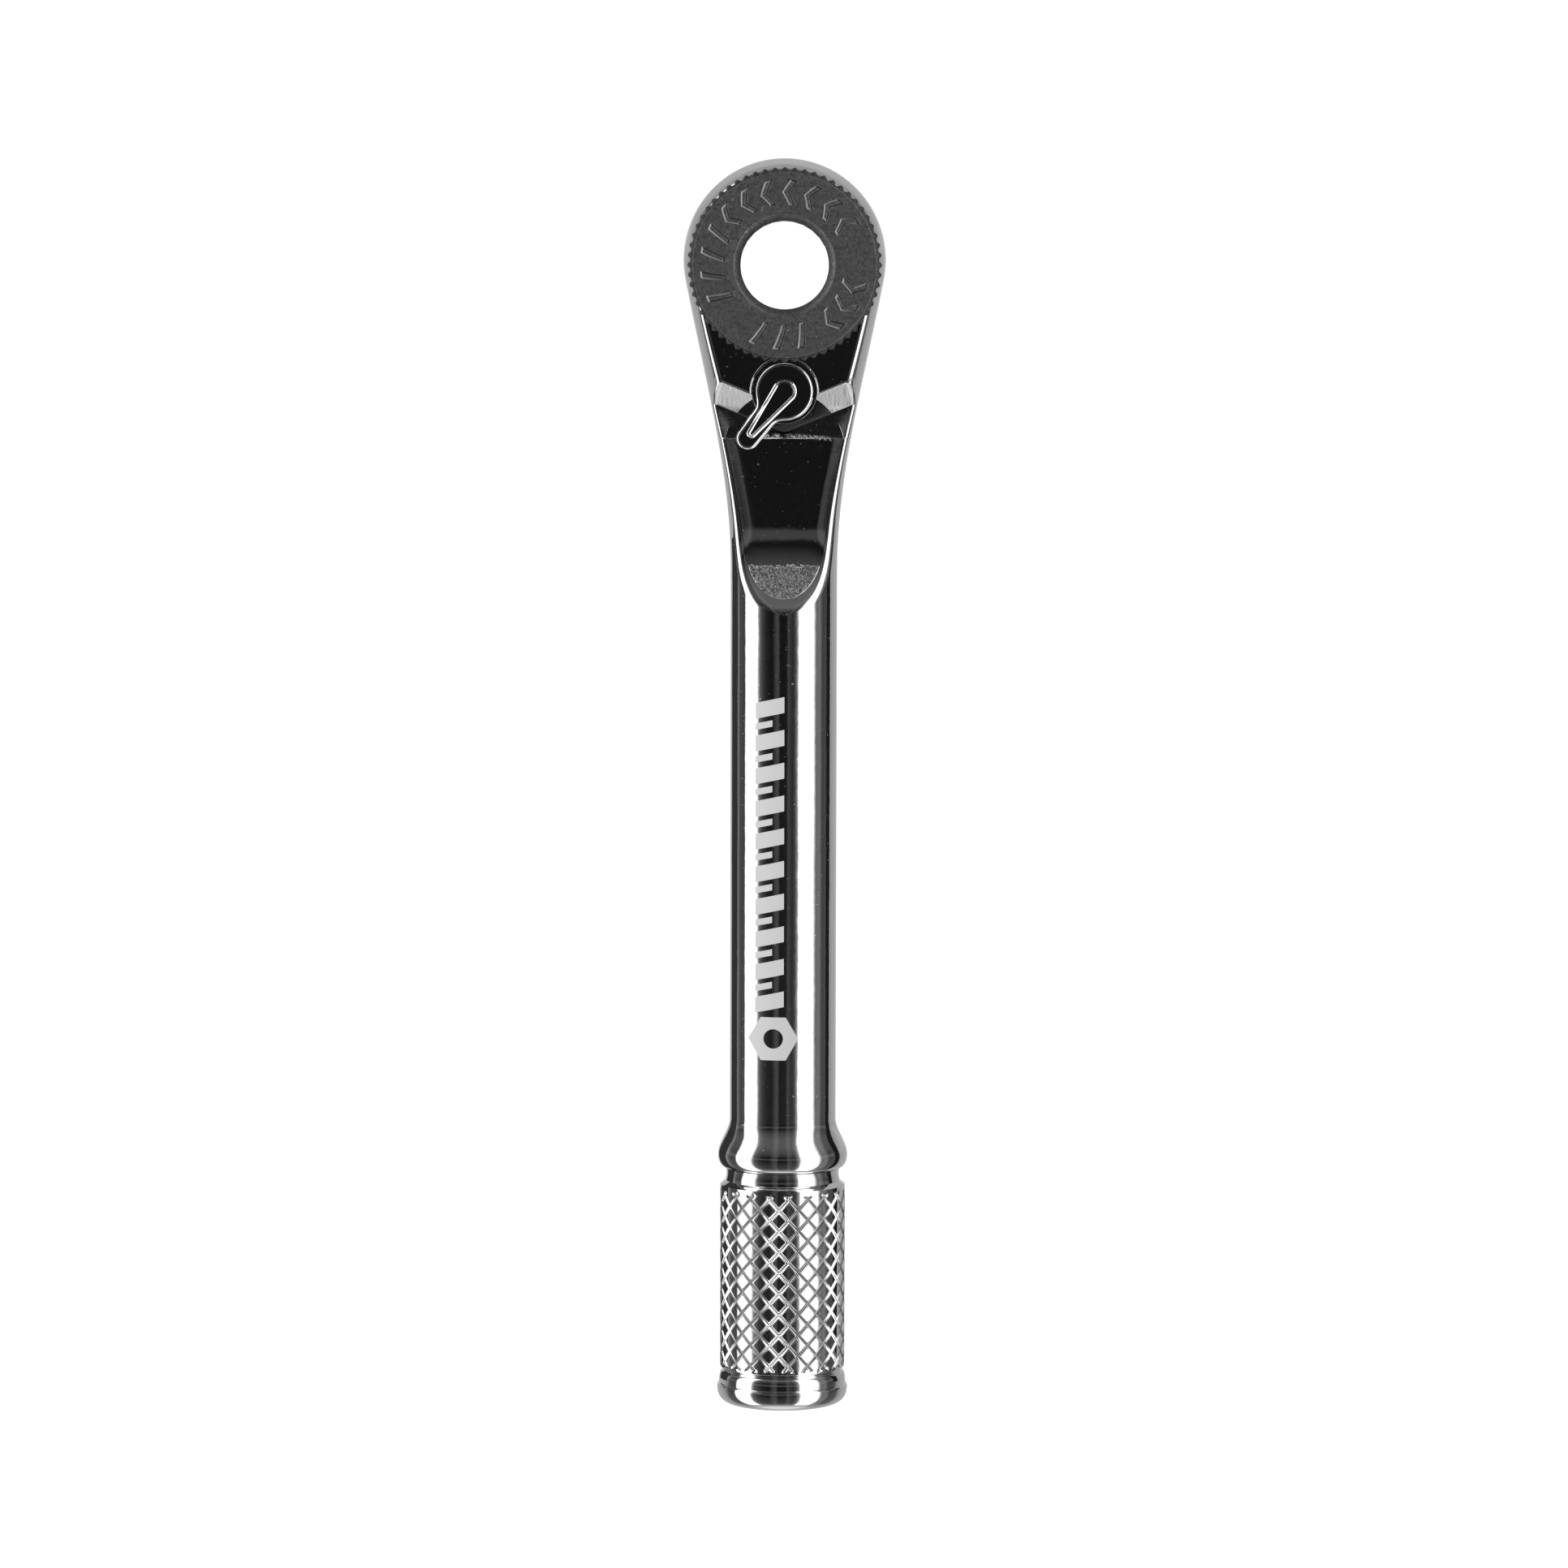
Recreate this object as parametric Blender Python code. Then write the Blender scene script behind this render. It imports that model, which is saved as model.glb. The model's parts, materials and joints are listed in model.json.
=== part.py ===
"""Mini reversible ratchet wrench for quarter-inch hex bits, with a knurled bit-holding end.

+Z points out of the face that carries the thumb ring and the reversing lever, and the handle runs along -Y.
The shapes below are drawn in millimetres from the drive gear's axis, at the height of the handle's centre
line. new_object moves them, so that the frame's origin is the middle of the whole tool's box.
"""

from math import atan2, cos, pi, radians, sin, sqrt, tan

import bmesh
import bpy
from mathutils import Matrix, Vector

MM = 0.001

# Forged body: plan outline
HEAD_R = 7.27  # plan radius of the head
HEAD_Y = 0.40  # the head's circle sits this far towards the tip from the drive axis
TANGENT_ANGLE = radians(100.8)  # where the neck leaves the head's circle, measured from the tip
HANDLE_R = 3.84
HANDLE_Y = -21.7  # where the neck has become the round handle
FLARE_Y = -61.6  # start of the flared end of the handle
FLARE_TOP_Y = -64.0  # widest place of the flare
FLARE_R = 4.70
BODY_END_Y = -65.05
BODY_END_R = 4.20

# Forged body: side walls and faces
WALL_DEPTH = 3.84  # how far in the rounded side wall reaches
HEAD_TALL = 4.6  # half height that the head's rounded wall would have without its flat faces
HEAD_POWER = 2.6
HEAD_TOP = 3.30
HEAD_BOTTOM = -3.80
STEP_TOP_Y = -8.50  # the face steps down to the neck between these two
STEP_FOOT_Y = -10.0
STEP_TOP_SLANT = 0.42  # the two edges of the step run in a V across the neck
STEP_FOOT_SLANT = 0.40
MILLED_FLOOR = 1.72
MILLED_END_Y = -12.45
NECK_FLOOR = 1.80
RAMP_Y = -18.4  # the floor starts to rise to the handle's top here
RAMP_R = 10.1
BACK_STEP_Y = -11.9
BACK_FOOT_Y = -13.1
BACK_FLOOR = -2.60
BACK_RAMP_Y = -17.6
RAIL_FILLET = 0.20

# Ratchet gear and its stack, on the drive axis
TEETH = 36
TIP_R = 5.20
ROOT_R = 4.82
TEETH_HALF = 1.60
BORE_R = 5.28
TOP_JOURNAL_R = 4.55
TOP_BORE_R = 4.60
SHOULDER_Z = 1.72
HUB_R = 4.30
HUB_TOP = 4.10
LOW_JOURNAL_R = 4.32
GEAR_BOTTOM = -4.05
HEX_FLATS = 6.45
WASHER_TOP = -2.05
WASHER_BOTTOM = -3.10
SNAP_TOP = -3.14
SNAP_BOTTOM = -3.54
SNAP_GROOVE_R = 5.62
SNAP_IN_R = 4.75
SNAP_OUT_R = 5.50
SEAL_R = 5.12
SEAL_WIRE = 0.28
SEAL_SEAT_R = 5.62
SEAL_SEAT_Z = 2.70
WAVE_Z = -1.83
WAVE_RISE = 0.06
WAVE_THICK = 0.10
WAVE_OUT_R = 5.10

# Thumb ring
SERRATIONS = 60
RING_R = 6.90
RING_ROOT_R = 6.62
RING_BOTTOM = 3.42
RING_TOP = 5.10
LIP_R = 3.125
LIP_CHAMFER = 0.45
LIP_BOTTOM = 4.16

# Bit-retaining rings, the same in both hex sockets
BIT_RING_R = 3.44
BIT_WIRE = 0.22
BIT_GROOVE_R = 3.74
BIT_GROOVE_HALF = 0.27
GEAR_GROOVE_Z = -3.05

# Pawl and reversing lever
PIVOT_Y = -8.95
ARM_ANGLE = radians(38)  # the arm points this far to the left of straight down the handle
PAWL_HALF = 1.45
PAWL_PIN_Y = -6.15
PAWL_PIN_R = 0.45
ROCK = radians(5)
PAWL_FACE_R = 5.25
PAWL_BACK_R = 2.15
PAWL_POCKET = ((3.75, -3.2), (3.75, -5.0), (3.15, -6.9), (1.75, -7.9))  # its +X side
STEM_R = 1.50
STEM_BORE_R = 1.55
LEVER_DISC_R = 2.10
POCKET_R = 2.33
POCKET_FLOOR = 1.62
CLEARING_Y = -13.2
CLEARING_R = 4.33
LEVER_BOTTOM = 2.00
LEVER_TOP = 2.95
ARM_LENGTH = 4.20
ARM_R = 0.80
RIB_TOP = 3.32
RIB_R = 0.90
RIB_TIP_R = 0.32
STEM_SEAL_TOP = 1.62
STEM_SEAL_BOTTOM = 1.05
STEM_SEAL_R = 1.36
STEM_SEAL_WIRE = 0.18
PLUNGER_R = 0.60
PLUNGER_BACK = 0.30
PLUNGER_TIP = 1.92
PLUNGER_HOLLOW_R = 0.46
PLUNGER_HOLLOW_END = 1.30
PLUNGER_BORE_END = -0.95
SPRING_R = 0.34
SPRING_WIRE = 0.07
SPRING_TURNS = 5
SPRING_START = -0.84
SPRING_END = 0.98
SWEEP_R = 2.05  # room that the plunger sweeps as the lever turns
SWEEP_HALF = 0.72
CLIP_TOP = -3.10
CLIP_BOTTOM = -3.34
CLIP_IN_R = 1.24
CLIP_OUT_R = 2.00
CLIP_SEAT_R = 2.15
CLIP_SEAT_Z = -3.02
STEM_BOTTOM = -3.66

# Knurled socket end
SHANK_R = 3.00
SHANK_END_Y = -58.6
NECK_R = 4.15
NECK_END_Y = -66.0
COLLAR_R = 4.50
COLLAR_Y = -66.3
KNURL_R = 4.53
KNURL_START_Y = -66.8
KNURL_END_Y = -79.55
WAIST_R = 4.32
WAIST_Y = -79.9
BEAD_R = 4.74
BEAD_Y = -81.1
END_Y = -82.3
END_R = 3.95
SOCKET_END_Y = -69.8
MAGNET_R = 2.50
MAGNET_LONG = 3.0
END_GROOVE_Y = -80.6

TO_MIDDLE = Vector((0, -(HEAD_Y + HEAD_R + END_Y) / 2, -(RING_TOP - BEAD_R) / 2))


def clear_scene():
    for obj in list(bpy.data.objects):
        bpy.data.objects.remove(obj, do_unlink=True)


def material(name, colour, roughness, metallic):
    made = bpy.data.materials.new(name)
    made.use_nodes = True
    shader = made.node_tree.nodes["Principled BSDF"]
    shader.inputs["Base Color"].default_value = (*colour, 1)
    shader.inputs["Roughness"].default_value = roughness
    shader.inputs["Metallic"].default_value = metallic
    return made


def new_object(name, bm, finish=None):
    """An object in the scene from a bmesh drawn in millimetres from the drive gear's axis."""
    bmesh.ops.remove_doubles(bm, verts=bm.verts, dist=1e-5)
    bmesh.ops.dissolve_degenerate(bm, edges=bm.edges, dist=1e-6)
    bmesh.ops.recalc_face_normals(bm, faces=bm.faces)
    bmesh.ops.translate(bm, vec=TO_MIDDLE, verts=bm.verts)
    bmesh.ops.scale(bm, vec=(MM, MM, MM), verts=bm.verts)
    mesh = bpy.data.meshes.new(name)
    bm.to_mesh(mesh)
    bm.free()
    if finish:
        mesh.materials.append(finish)
    mesh.shade_smooth()
    mesh.set_sharp_from_angle(angle=radians(30))
    obj = bpy.data.objects.new(name, mesh)
    bpy.context.scene.collection.objects.link(obj)
    return obj


def loops_mesh(loops, close_ends=True):
    """Closed loops of points joined by quads, with a face over each end."""
    bm = bmesh.new()
    rows = [[bm.verts.new(point) for point in loop] for loop in loops]
    for first, second in zip(rows, rows[1:]):
        for i in range(len(first)):
            j = (i + 1) % len(first)
            bm.faces.new((first[i], first[j], second[j], second[i]))
    if close_ends:
        bm.faces.new(rows[0])
        bm.faces.new(reversed(rows[-1]))
    return bm


def lathe(profile, steps=40, along_y=False):
    """A closed outline of (radius, height) points turned about Z, or about Y when along_y is set."""
    loops = []
    start = 0 if along_y else pi / steps  # about Z, this keeps the corners off the body's middle line
    for k in range(steps):
        turn = start + 2 * pi * k / steps
        ring = []
        for radius, height in profile:
            across, up = radius * cos(turn), radius * sin(turn)
            ring.append((across, height, up) if along_y else (across, up, height))
        loops.append(ring)
    loops.append(loops[0])
    return loops_mesh(loops, close_ends=False)


def prism(outline, low, high, along_y=False):
    """An outline of (x, y) points extruded from one height to another, or along Y when along_y is set."""
    if along_y:
        return loops_mesh([[(x, end, z) for x, z in outline] for end in (low, high)])
    return loops_mesh([[(x, y, low) for x, y in outline], [(x, y, high) for x, y in outline]])


def circle(radius, steps=36, centre=(0, 0)):
    turns = [2 * pi * (k + 0.5) / steps for k in range(steps)]
    return [(centre[0] + radius * cos(turn), centre[1] + radius * sin(turn)) for turn in turns]


def on_pivot(bm):
    """Moves a shape drawn on the Z axis to the lever's pivot."""
    bmesh.ops.translate(bm, vec=(0, PIVOT_Y, 0), verts=bm.verts)
    return bm


def wire_ring(name, finish, ring_r, wire_r, gap, centre, along_y=False, steps=24, sides=6):
    """A wire bent round an axis, open over the gap angle, or a closed ring where the gap is 0."""
    loops = []
    count = steps if gap else steps + 1
    for k in range(count):
        turn = gap / 2 + (2 * pi - gap) * k / (count - 1)
        loop = []
        for s in range(sides):
            side = 2 * pi * s / sides
            radius, height = ring_r + wire_r * cos(side), wire_r * sin(side)
            across, up = radius * cos(turn), radius * sin(turn)
            loop.append((across, height, up) if along_y else (across, up, height))
        loops.append(loop)
    bm = loops_mesh(loops, close_ends=bool(gap))
    bmesh.ops.translate(bm, vec=centre, verts=bm.verts)
    return new_object(name, bm, finish)


def boolean(obj, name, bm, operation="DIFFERENCE"):
    """Cuts a helper shape from the object, or joins it on."""
    cutter = new_object(f"{obj.name}_{name}", bm)
    cutter.hide_render = True
    cutter.display_type = "WIRE"
    step = obj.modifiers.new(name, "BOOLEAN")
    step.operation = operation
    step.solver = "EXACT"
    step.object = cutter


def hex_outline(flats):
    corner = flats / 2 / cos(pi / 6)
    return [(corner * cos(pi / 3 * k), corner * sin(pi / 3 * k)) for k in range(6)]


def smooth(low, high, value):
    t = min(1, max(0, (value - low) / (high - low)))
    return t * t * (3 - 2 * t)


def neck_width(y):
    """Half width of the neck and its slope along Y: a cubic from the head's circle to the handle."""
    start = Vector((HEAD_R * sin(TANGENT_ANGLE), HEAD_Y + HEAD_R * cos(TANGENT_ANGLE)))
    length = start.y - HANDLE_Y
    slope = tan(TANGENT_ANGLE - pi / 2)
    t = min(1, (start.y - y) / length)
    width = (
        (2 * t**3 - 3 * t**2 + 1) * start.x
        - (t**3 - 2 * t**2 + t) * length * slope
        + (3 * t**2 - 2 * t**3) * HANDLE_R
    )
    rate = (3 * t**2 - 4 * t + 1) * slope - (6 * t**2 - 6 * t) * (start.x - HANDLE_R) / length
    return width, rate


def flare_radius(y):
    """Outer radius of the handle's round end."""
    if y >= FLARE_TOP_Y:
        return HANDLE_R + (FLARE_R - HANDLE_R) * smooth(FLARE_Y, FLARE_TOP_Y, y)
    t = (FLARE_TOP_Y - y) / (FLARE_TOP_Y - BODY_END_Y)
    return BODY_END_R + (FLARE_R - BODY_END_R) * sqrt(max(0, 1 - t * t))


def ramp(y, start, floor):
    """Height of a floor that curves up, as a round cutter leaves it."""
    run = min(max(0, start - y), RAMP_R)
    return floor + RAMP_R - sqrt(RAMP_R**2 - run**2)


def ramp_end(start, rise):
    """Where a ramp that begins at start has risen by the given height."""
    return start - sqrt(2 * RAMP_R * rise - rise**2)


def top_height(y):
    if y >= STEP_FOOT_Y:
        share = min(1, max(0, (STEP_TOP_Y - y) / (STEP_TOP_Y - STEP_FOOT_Y)))
        return HEAD_TOP + (MILLED_FLOOR - HEAD_TOP) * share
    floor = MILLED_FLOOR if y > MILLED_END_Y else NECK_FLOOR
    return ramp(y, RAMP_Y, floor)


def back_height(y):
    if y >= BACK_FOOT_Y:
        share = min(1, max(0, (BACK_STEP_Y - y) / (BACK_STEP_Y - BACK_FOOT_Y)))
        return HEAD_BOTTOM + (BACK_FLOOR - HEAD_BOTTOM) * share
    return -ramp(y, BACK_RAMP_Y, -BACK_FLOOR)


def top_slant(y):
    """How steeply a line across the top face drops towards the handle between rail and middle."""
    if y >= STEP_TOP_Y:
        return STEP_TOP_SLANT * smooth(0, STEP_TOP_Y, y)
    if y >= STEP_FOOT_Y:
        share = (STEP_TOP_Y - y) / (STEP_TOP_Y - STEP_FOOT_Y)
        return STEP_TOP_SLANT + (STEP_FOOT_SLANT - STEP_TOP_SLANT) * share
    return STEP_FOOT_SLANT * (1 - smooth(STEP_FOOT_Y, MILLED_END_Y, y))


def side_profile(depth, tall, power, top, bottom, room, wall_steps, fillet_steps):
    """The side wall from the top face round to the bottom face, as (distance in, height) points."""

    def at(angle):
        reach = (abs(cos(angle) / depth) ** power + abs(sin(angle) / tall) ** power) ** (-1 / power)
        return Vector((depth - reach * cos(angle), reach * sin(angle)))

    def rail_angle(height):
        if height >= tall:
            return pi / 2
        return atan2(height, depth * (1 - (height / tall) ** power) ** (1 / power))

    def rounded(angle, sign):
        corner = at(angle * sign)
        fillet = min(RAIL_FILLET, 0.4 * max(0, room - corner.x))
        before = at((angle - fillet / tall) * sign)
        after = corner + Vector((fillet, 0))
        points = []
        for k in range(fillet_steps + 1):
            t = k / fillet_steps
            points.append((1 - t) ** 2 * after + 2 * t * (1 - t) * corner + t**2 * before)
        return points, (angle - fillet / tall) * sign

    upper, start = rounded(rail_angle(top), 1)
    lower, end = rounded(rail_angle(-bottom), -1)
    wall = [at(start + (end - start) * k / wall_steps) for k in range(1, wall_steps)]
    return upper + wall + lower[::-1]


def body_loop(y, place, inward, wall_steps, fillet_steps, columns):
    """One closed loop of the body's skin: across the top, down one side, across the bottom and up the other."""
    blend = smooth(-2, HANDLE_Y, y)
    if y < FLARE_Y:
        depth = tall = flare_radius(y)
        power = 2
    else:
        depth = WALL_DEPTH + (HANDLE_R - WALL_DEPTH) * blend
        tall = HEAD_TALL + (HANDLE_R - HEAD_TALL) * blend
        power = HEAD_POWER + (2 - HEAD_POWER) * blend
    top, bottom = min(top_height(y), tall), max(back_height(y), -tall)
    room = place.x / max(1e-6, -inward.x)
    side = side_profile(depth, tall, power, top, bottom, room, wall_steps, fillet_steps)
    right = [(max(0, place.x + inward.x * u), place.y + inward.y * u, z) for u, z in side]

    def across(rail, tilt):
        """Points from the middle line out to a rail."""
        line = []
        for k in range(columns):
            x = rail[0] * k / columns
            line.append((x, rail[1] - tilt * (rail[0] - x), rail[2]))
        return line

    half = across(right[0], top_slant(y)) + right + across(right[-1], 0)[::-1]
    left = [(-x, y_at, z) for x, y_at, z in half[1:-1]]
    return half + left[::-1]


def body_stations(head_steps, neck_step, flare_steps):
    """Places round the outline, from the tip down one side to the end, each with the way in."""
    stations = []
    for k in range(head_steps + 1):
        turn = TANGENT_ANGLE * k / head_steps
        radial = Vector((sin(turn), cos(turn)))
        place = Vector((0, HEAD_Y)) + radial * HEAD_R
        stations.append((place.y, place, -radial))
    marks = [STEP_TOP_Y, STEP_FOOT_Y, MILLED_END_Y + 0.12, MILLED_END_Y - 0.02]
    marks += [BACK_STEP_Y, BACK_FOOT_Y, BACK_RAMP_Y, RAMP_Y, HANDLE_Y]
    marks += [ramp_end(RAMP_Y, HANDLE_R - NECK_FLOOR), ramp_end(BACK_RAMP_Y, HANDLE_R + BACK_FLOOR)]
    last = stations[-1][0]
    for mark in sorted(marks, reverse=True):
        count = max(1, round((last - mark) / neck_step))
        for k in range(1, count + 1):
            y = last + (mark - last) * k / count
            width, rate = neck_width(y)
            stations.append((y, Vector((width, y)), Vector((-1, rate)).normalized()))
        last = mark
    flare = [FLARE_Y + (FLARE_TOP_Y - FLARE_Y) * k / flare_steps for k in range(flare_steps + 1)]
    lip = [pi / 2 * k / flare_steps for k in range(1, flare_steps + 1)]
    flare += [FLARE_TOP_Y + (BODY_END_Y - FLARE_TOP_Y) * sin(turn) for turn in lip]
    for y in flare:
        stations.append((y, Vector((flare_radius(y), y)), Vector((-1, 0))))
    return stations


def body_skin(head_steps=16, neck_step=1.3, flare_steps=4, wall_steps=8, fillet_steps=1, columns=2):
    loops = [
        body_loop(y, place, inward, wall_steps, fillet_steps, columns)
        for y, place, inward in body_stations(head_steps, neck_step, flare_steps)
    ]
    loops[0] = [(0, y, z) for x, y, z in loops[0]]
    bm = loops_mesh(loops, close_ends=False)
    bm.verts.ensure_lookup_table()
    bm.faces.new(reversed(bm.verts[-len(loops[-1]) :]))
    return bm


def pawl_outline(grow=0.0, rock=0.0):
    """Plan of the pawl: toothed wings either side of its pin, and a hollow back for the plunger."""
    pin = Vector((0, PAWL_PIN_Y))
    pitch = 2 * pi / TEETH
    face = []
    centre = Matrix.Rotation(-ROCK, 2) @ -pin + pin
    for k in range(-1, 6):
        turn = -pi / 2 + (k / 2 + 0.15) * pitch + 0.045
        depth = 0.0 if k % 2 else 0.22
        point = centre + (PAWL_FACE_R + depth + grow) * Vector((cos(turn), sin(turn)))
        if point.x > 0.25:
            face.append(point)
    wing = [Vector((3.25 + grow, -5.05)), Vector((2.75 + grow, -6.30 - grow))]
    back = []
    for k in range(5):
        turn = radians(40 + 12.5 * k)
        reach = PAWL_BACK_R - grow
        back.append(Vector((reach * cos(turn), PIVOT_Y + reach * sin(turn))))
    right = face + wing + back[:-1] + [Vector((0, PIVOT_Y + PAWL_BACK_R - grow))]
    notch = [Vector((0, -5.32 + grow))]
    left = [Vector((-p.x, p.y)) for p in right[:-1]]
    outline = notch + right + left[::-1]
    turned = Matrix.Rotation(rock, 2)
    return [tuple(turned @ (p - pin) + pin) for p in outline]


def make_body(finish):
    body = new_object("body", body_skin(), finish)
    low, high = HEAD_BOTTOM - 1, HEAD_TOP + 1
    clearing = [point for point in circle(CLEARING_R, 40, (0, CLEARING_Y)) if point[1] > MILLED_END_Y]
    boolean(body, "lever_clearing", prism(clearing, MILLED_FLOOR - 0.02, high))
    bore = [
        (0, low),
        (BORE_R, low),
        (BORE_R, SNAP_BOTTOM - 0.04),
        (SNAP_GROOVE_R, SNAP_BOTTOM - 0.04),
        (SNAP_GROOVE_R, SNAP_TOP + 0.02),
        (BORE_R, SNAP_TOP + 0.02),
        (BORE_R, SHOULDER_Z),
        (TOP_BORE_R, SHOULDER_Z),
        (TOP_BORE_R, SEAL_SEAT_Z),
        (SEAL_SEAT_R, SEAL_SEAT_Z),
        (SEAL_SEAT_R, high),
        (0, high),
    ]
    boolean(body, "gear_bore", lathe(bore, 48))
    pocket = list(PAWL_POCKET) + [(-x, y) for x, y in reversed(PAWL_POCKET)]
    boolean(body, "pawl_pocket", prism(pocket, -PAWL_HALF - 0.1, PAWL_HALF + 0.1))
    lever = [
        (0, CLIP_SEAT_Z - 2),
        (CLIP_SEAT_R, CLIP_SEAT_Z - 2),
        (CLIP_SEAT_R, CLIP_SEAT_Z),
        (STEM_BORE_R, CLIP_SEAT_Z),
        (STEM_BORE_R, -SWEEP_HALF),
        (SWEEP_R, -SWEEP_HALF),
        (SWEEP_R, SWEEP_HALF),
        (STEM_BORE_R, SWEEP_HALF),
        (STEM_BORE_R, POCKET_FLOOR),
        (POCKET_R, POCKET_FLOOR),
        (POCKET_R, high),
        (0, high),
    ]
    boolean(body, "lever_bore", on_pivot(lathe(lever, 36)))
    pin = prism(circle(PAWL_PIN_R + 0.02, 20, (0, PAWL_PIN_Y)), -2.2, 2.2)
    boolean(body, "pin_holes", pin)
    bell = [(0, SHANK_END_Y + 0.3), (0, BODY_END_Y - 1), (SHANK_R + 0.03, BODY_END_Y - 1)]
    bell += [(SHANK_R + 0.03, SHANK_END_Y + 0.1), (SHANK_R - 0.2, SHANK_END_Y + 0.3)]
    boolean(body, "shank_bore", lathe(bell, 36, along_y=True))
    return body


def make_gear(finish):
    points = []
    for k in range(TEETH):
        for share, radius in ((-0.28, ROOT_R), (-0.06, TIP_R), (0.06, TIP_R), (0.28, ROOT_R)):
            turn = 2 * pi * (k + share) / TEETH
            points.append((radius * cos(turn), radius * sin(turn)))
    gear = new_object("ratchet_gear", prism(points, -TEETH_HALF, TEETH_HALF), finish)
    journals = [
        (0, GEAR_BOTTOM),
        (LOW_JOURNAL_R - 0.2, GEAR_BOTTOM),
        (LOW_JOURNAL_R, GEAR_BOTTOM + 0.2),
        (LOW_JOURNAL_R, 0),
        (TOP_JOURNAL_R, 0),
        (TOP_JOURNAL_R, HEAD_TOP),
        (HUB_R, HEAD_TOP),
        (HUB_R, HUB_TOP),
        (0, HUB_TOP),
    ]
    boolean(gear, "journals", lathe(journals), "UNION")
    boolean(gear, "hex_socket", prism(hex_outline(HEX_FLATS), GEAR_BOTTOM - 1, HUB_TOP + 1))
    low, high = GEAR_GROOVE_Z - BIT_GROOVE_HALF, GEAR_GROOVE_Z + BIT_GROOVE_HALF
    boolean(gear, "ring_groove", prism(circle(BIT_GROOVE_R), low, high))
    return gear


def make_thumb_ring(finish):
    points = []
    for k in range(SERRATIONS):
        for share, radius in ((0, RING_R), (0.5, RING_ROOT_R)):
            turn = 2 * pi * (k + share) / SERRATIONS
            points.append((radius * cos(turn), radius * sin(turn)))
    ring = new_object("thumb_ring", prism(points, RING_BOTTOM, RING_TOP), finish)
    seat = HUB_R + 0.02
    hole = [
        (0, RING_BOTTOM - 1),
        (seat, RING_BOTTOM - 1),
        (seat, LIP_BOTTOM),
        (LIP_R, LIP_BOTTOM),
        (LIP_R, RING_TOP - LIP_CHAMFER),
        (LIP_R + LIP_CHAMFER + 0.5, RING_TOP + 0.5),
        (0, RING_TOP + 0.5),
    ]
    boolean(ring, "hole", lathe(hole))
    return ring


def make_back_washer(finish):
    hole = LOW_JOURNAL_R + 0.05
    rim = BORE_R - 0.04
    profile = [(hole, WASHER_TOP), (rim, WASHER_TOP), (rim, WASHER_BOTTOM), (hole, WASHER_BOTTOM)]
    return new_object("gear_back_washer", lathe(profile[::-1]), finish)


def make_wave_washer(finish):
    """A thin spring washer between the gear's teeth and the back washer, with three waves."""
    inner = LOW_JOURNAL_R + 0.08
    loops = []
    for k in range(30):
        turn = 2 * pi * k / 30
        low = WAVE_Z + WAVE_RISE * cos(3 * turn) - WAVE_THICK / 2
        high = low + WAVE_THICK
        profile = ((inner, low), (WAVE_OUT_R, low), (WAVE_OUT_R, high), (inner, high))
        loops.append([(r * cos(turn), r * sin(turn), h) for r, h in profile])
    loops.append(loops[0])
    return new_object("gear_wave_washer", loops_mesh(loops, close_ends=False), finish)


def split_plate(name, finish, inner, outer, low, high, gap, centre_y, facing):
    """A flat ring with a gap, such as a snap ring or a clip."""
    steps = 30
    half = gap / 2
    turns = [facing + half + (2 * pi - gap) * k / steps for k in range(steps + 1)]
    outline = [(outer * cos(t), centre_y + outer * sin(t)) for t in turns]
    outline += [(inner * cos(t), centre_y + inner * sin(t)) for t in reversed(turns)]
    return new_object(name, prism(outline, low, high), finish)


def make_pawl(finish):
    pawl = new_object("pawl", prism(pawl_outline(rock=ROCK), -PAWL_HALF, PAWL_HALF), finish)
    boolean(pawl, "pin_hole", prism(circle(PAWL_PIN_R + 0.05, 20, (0, PAWL_PIN_Y)), -3, 3))
    return pawl


def arc(centre, radius, start, end, steps):
    turns = [start + (end - start) * k / steps for k in range(steps + 1)]
    return [centre + radius * Vector((cos(turn), sin(turn))) for turn in turns]


def lever_plan():
    """Plan of the lever: a round disc with an arm that tapers to a rounded tip."""
    pivot = Vector((0, PIVOT_Y))
    away = Vector((-sin(ARM_ANGLE), -cos(ARM_ANGLE)))
    side = Vector((-away.y, away.x))
    heading = atan2(away.y, away.x)
    blend = radians(38)
    foot = pivot + away * 2.15
    disc = arc(pivot, LEVER_DISC_R, heading + blend, heading + 2 * pi - blend, 26)
    end = arc(pivot + away * ARM_LENGTH, ARM_R, heading - pi / 2, heading + pi / 2, 8)
    return disc + [foot - side * 0.95] + end + [foot + side * 0.95]


def rib_plan():
    """Plan of the raised grip on the lever: a teardrop that narrows towards the arm's tip."""
    pivot = Vector((0, PIVOT_Y))
    away = Vector((-sin(ARM_ANGLE), -cos(ARM_ANGLE)))
    heading = atan2(away.y, away.x)
    wide = arc(pivot, RIB_R, heading + pi / 2, heading + 3 * pi / 2, 8)
    tip = arc(pivot + away * (ARM_LENGTH - 0.25), RIB_TIP_R, heading - pi / 2, heading + pi / 2, 4)
    return wide + tip


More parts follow.
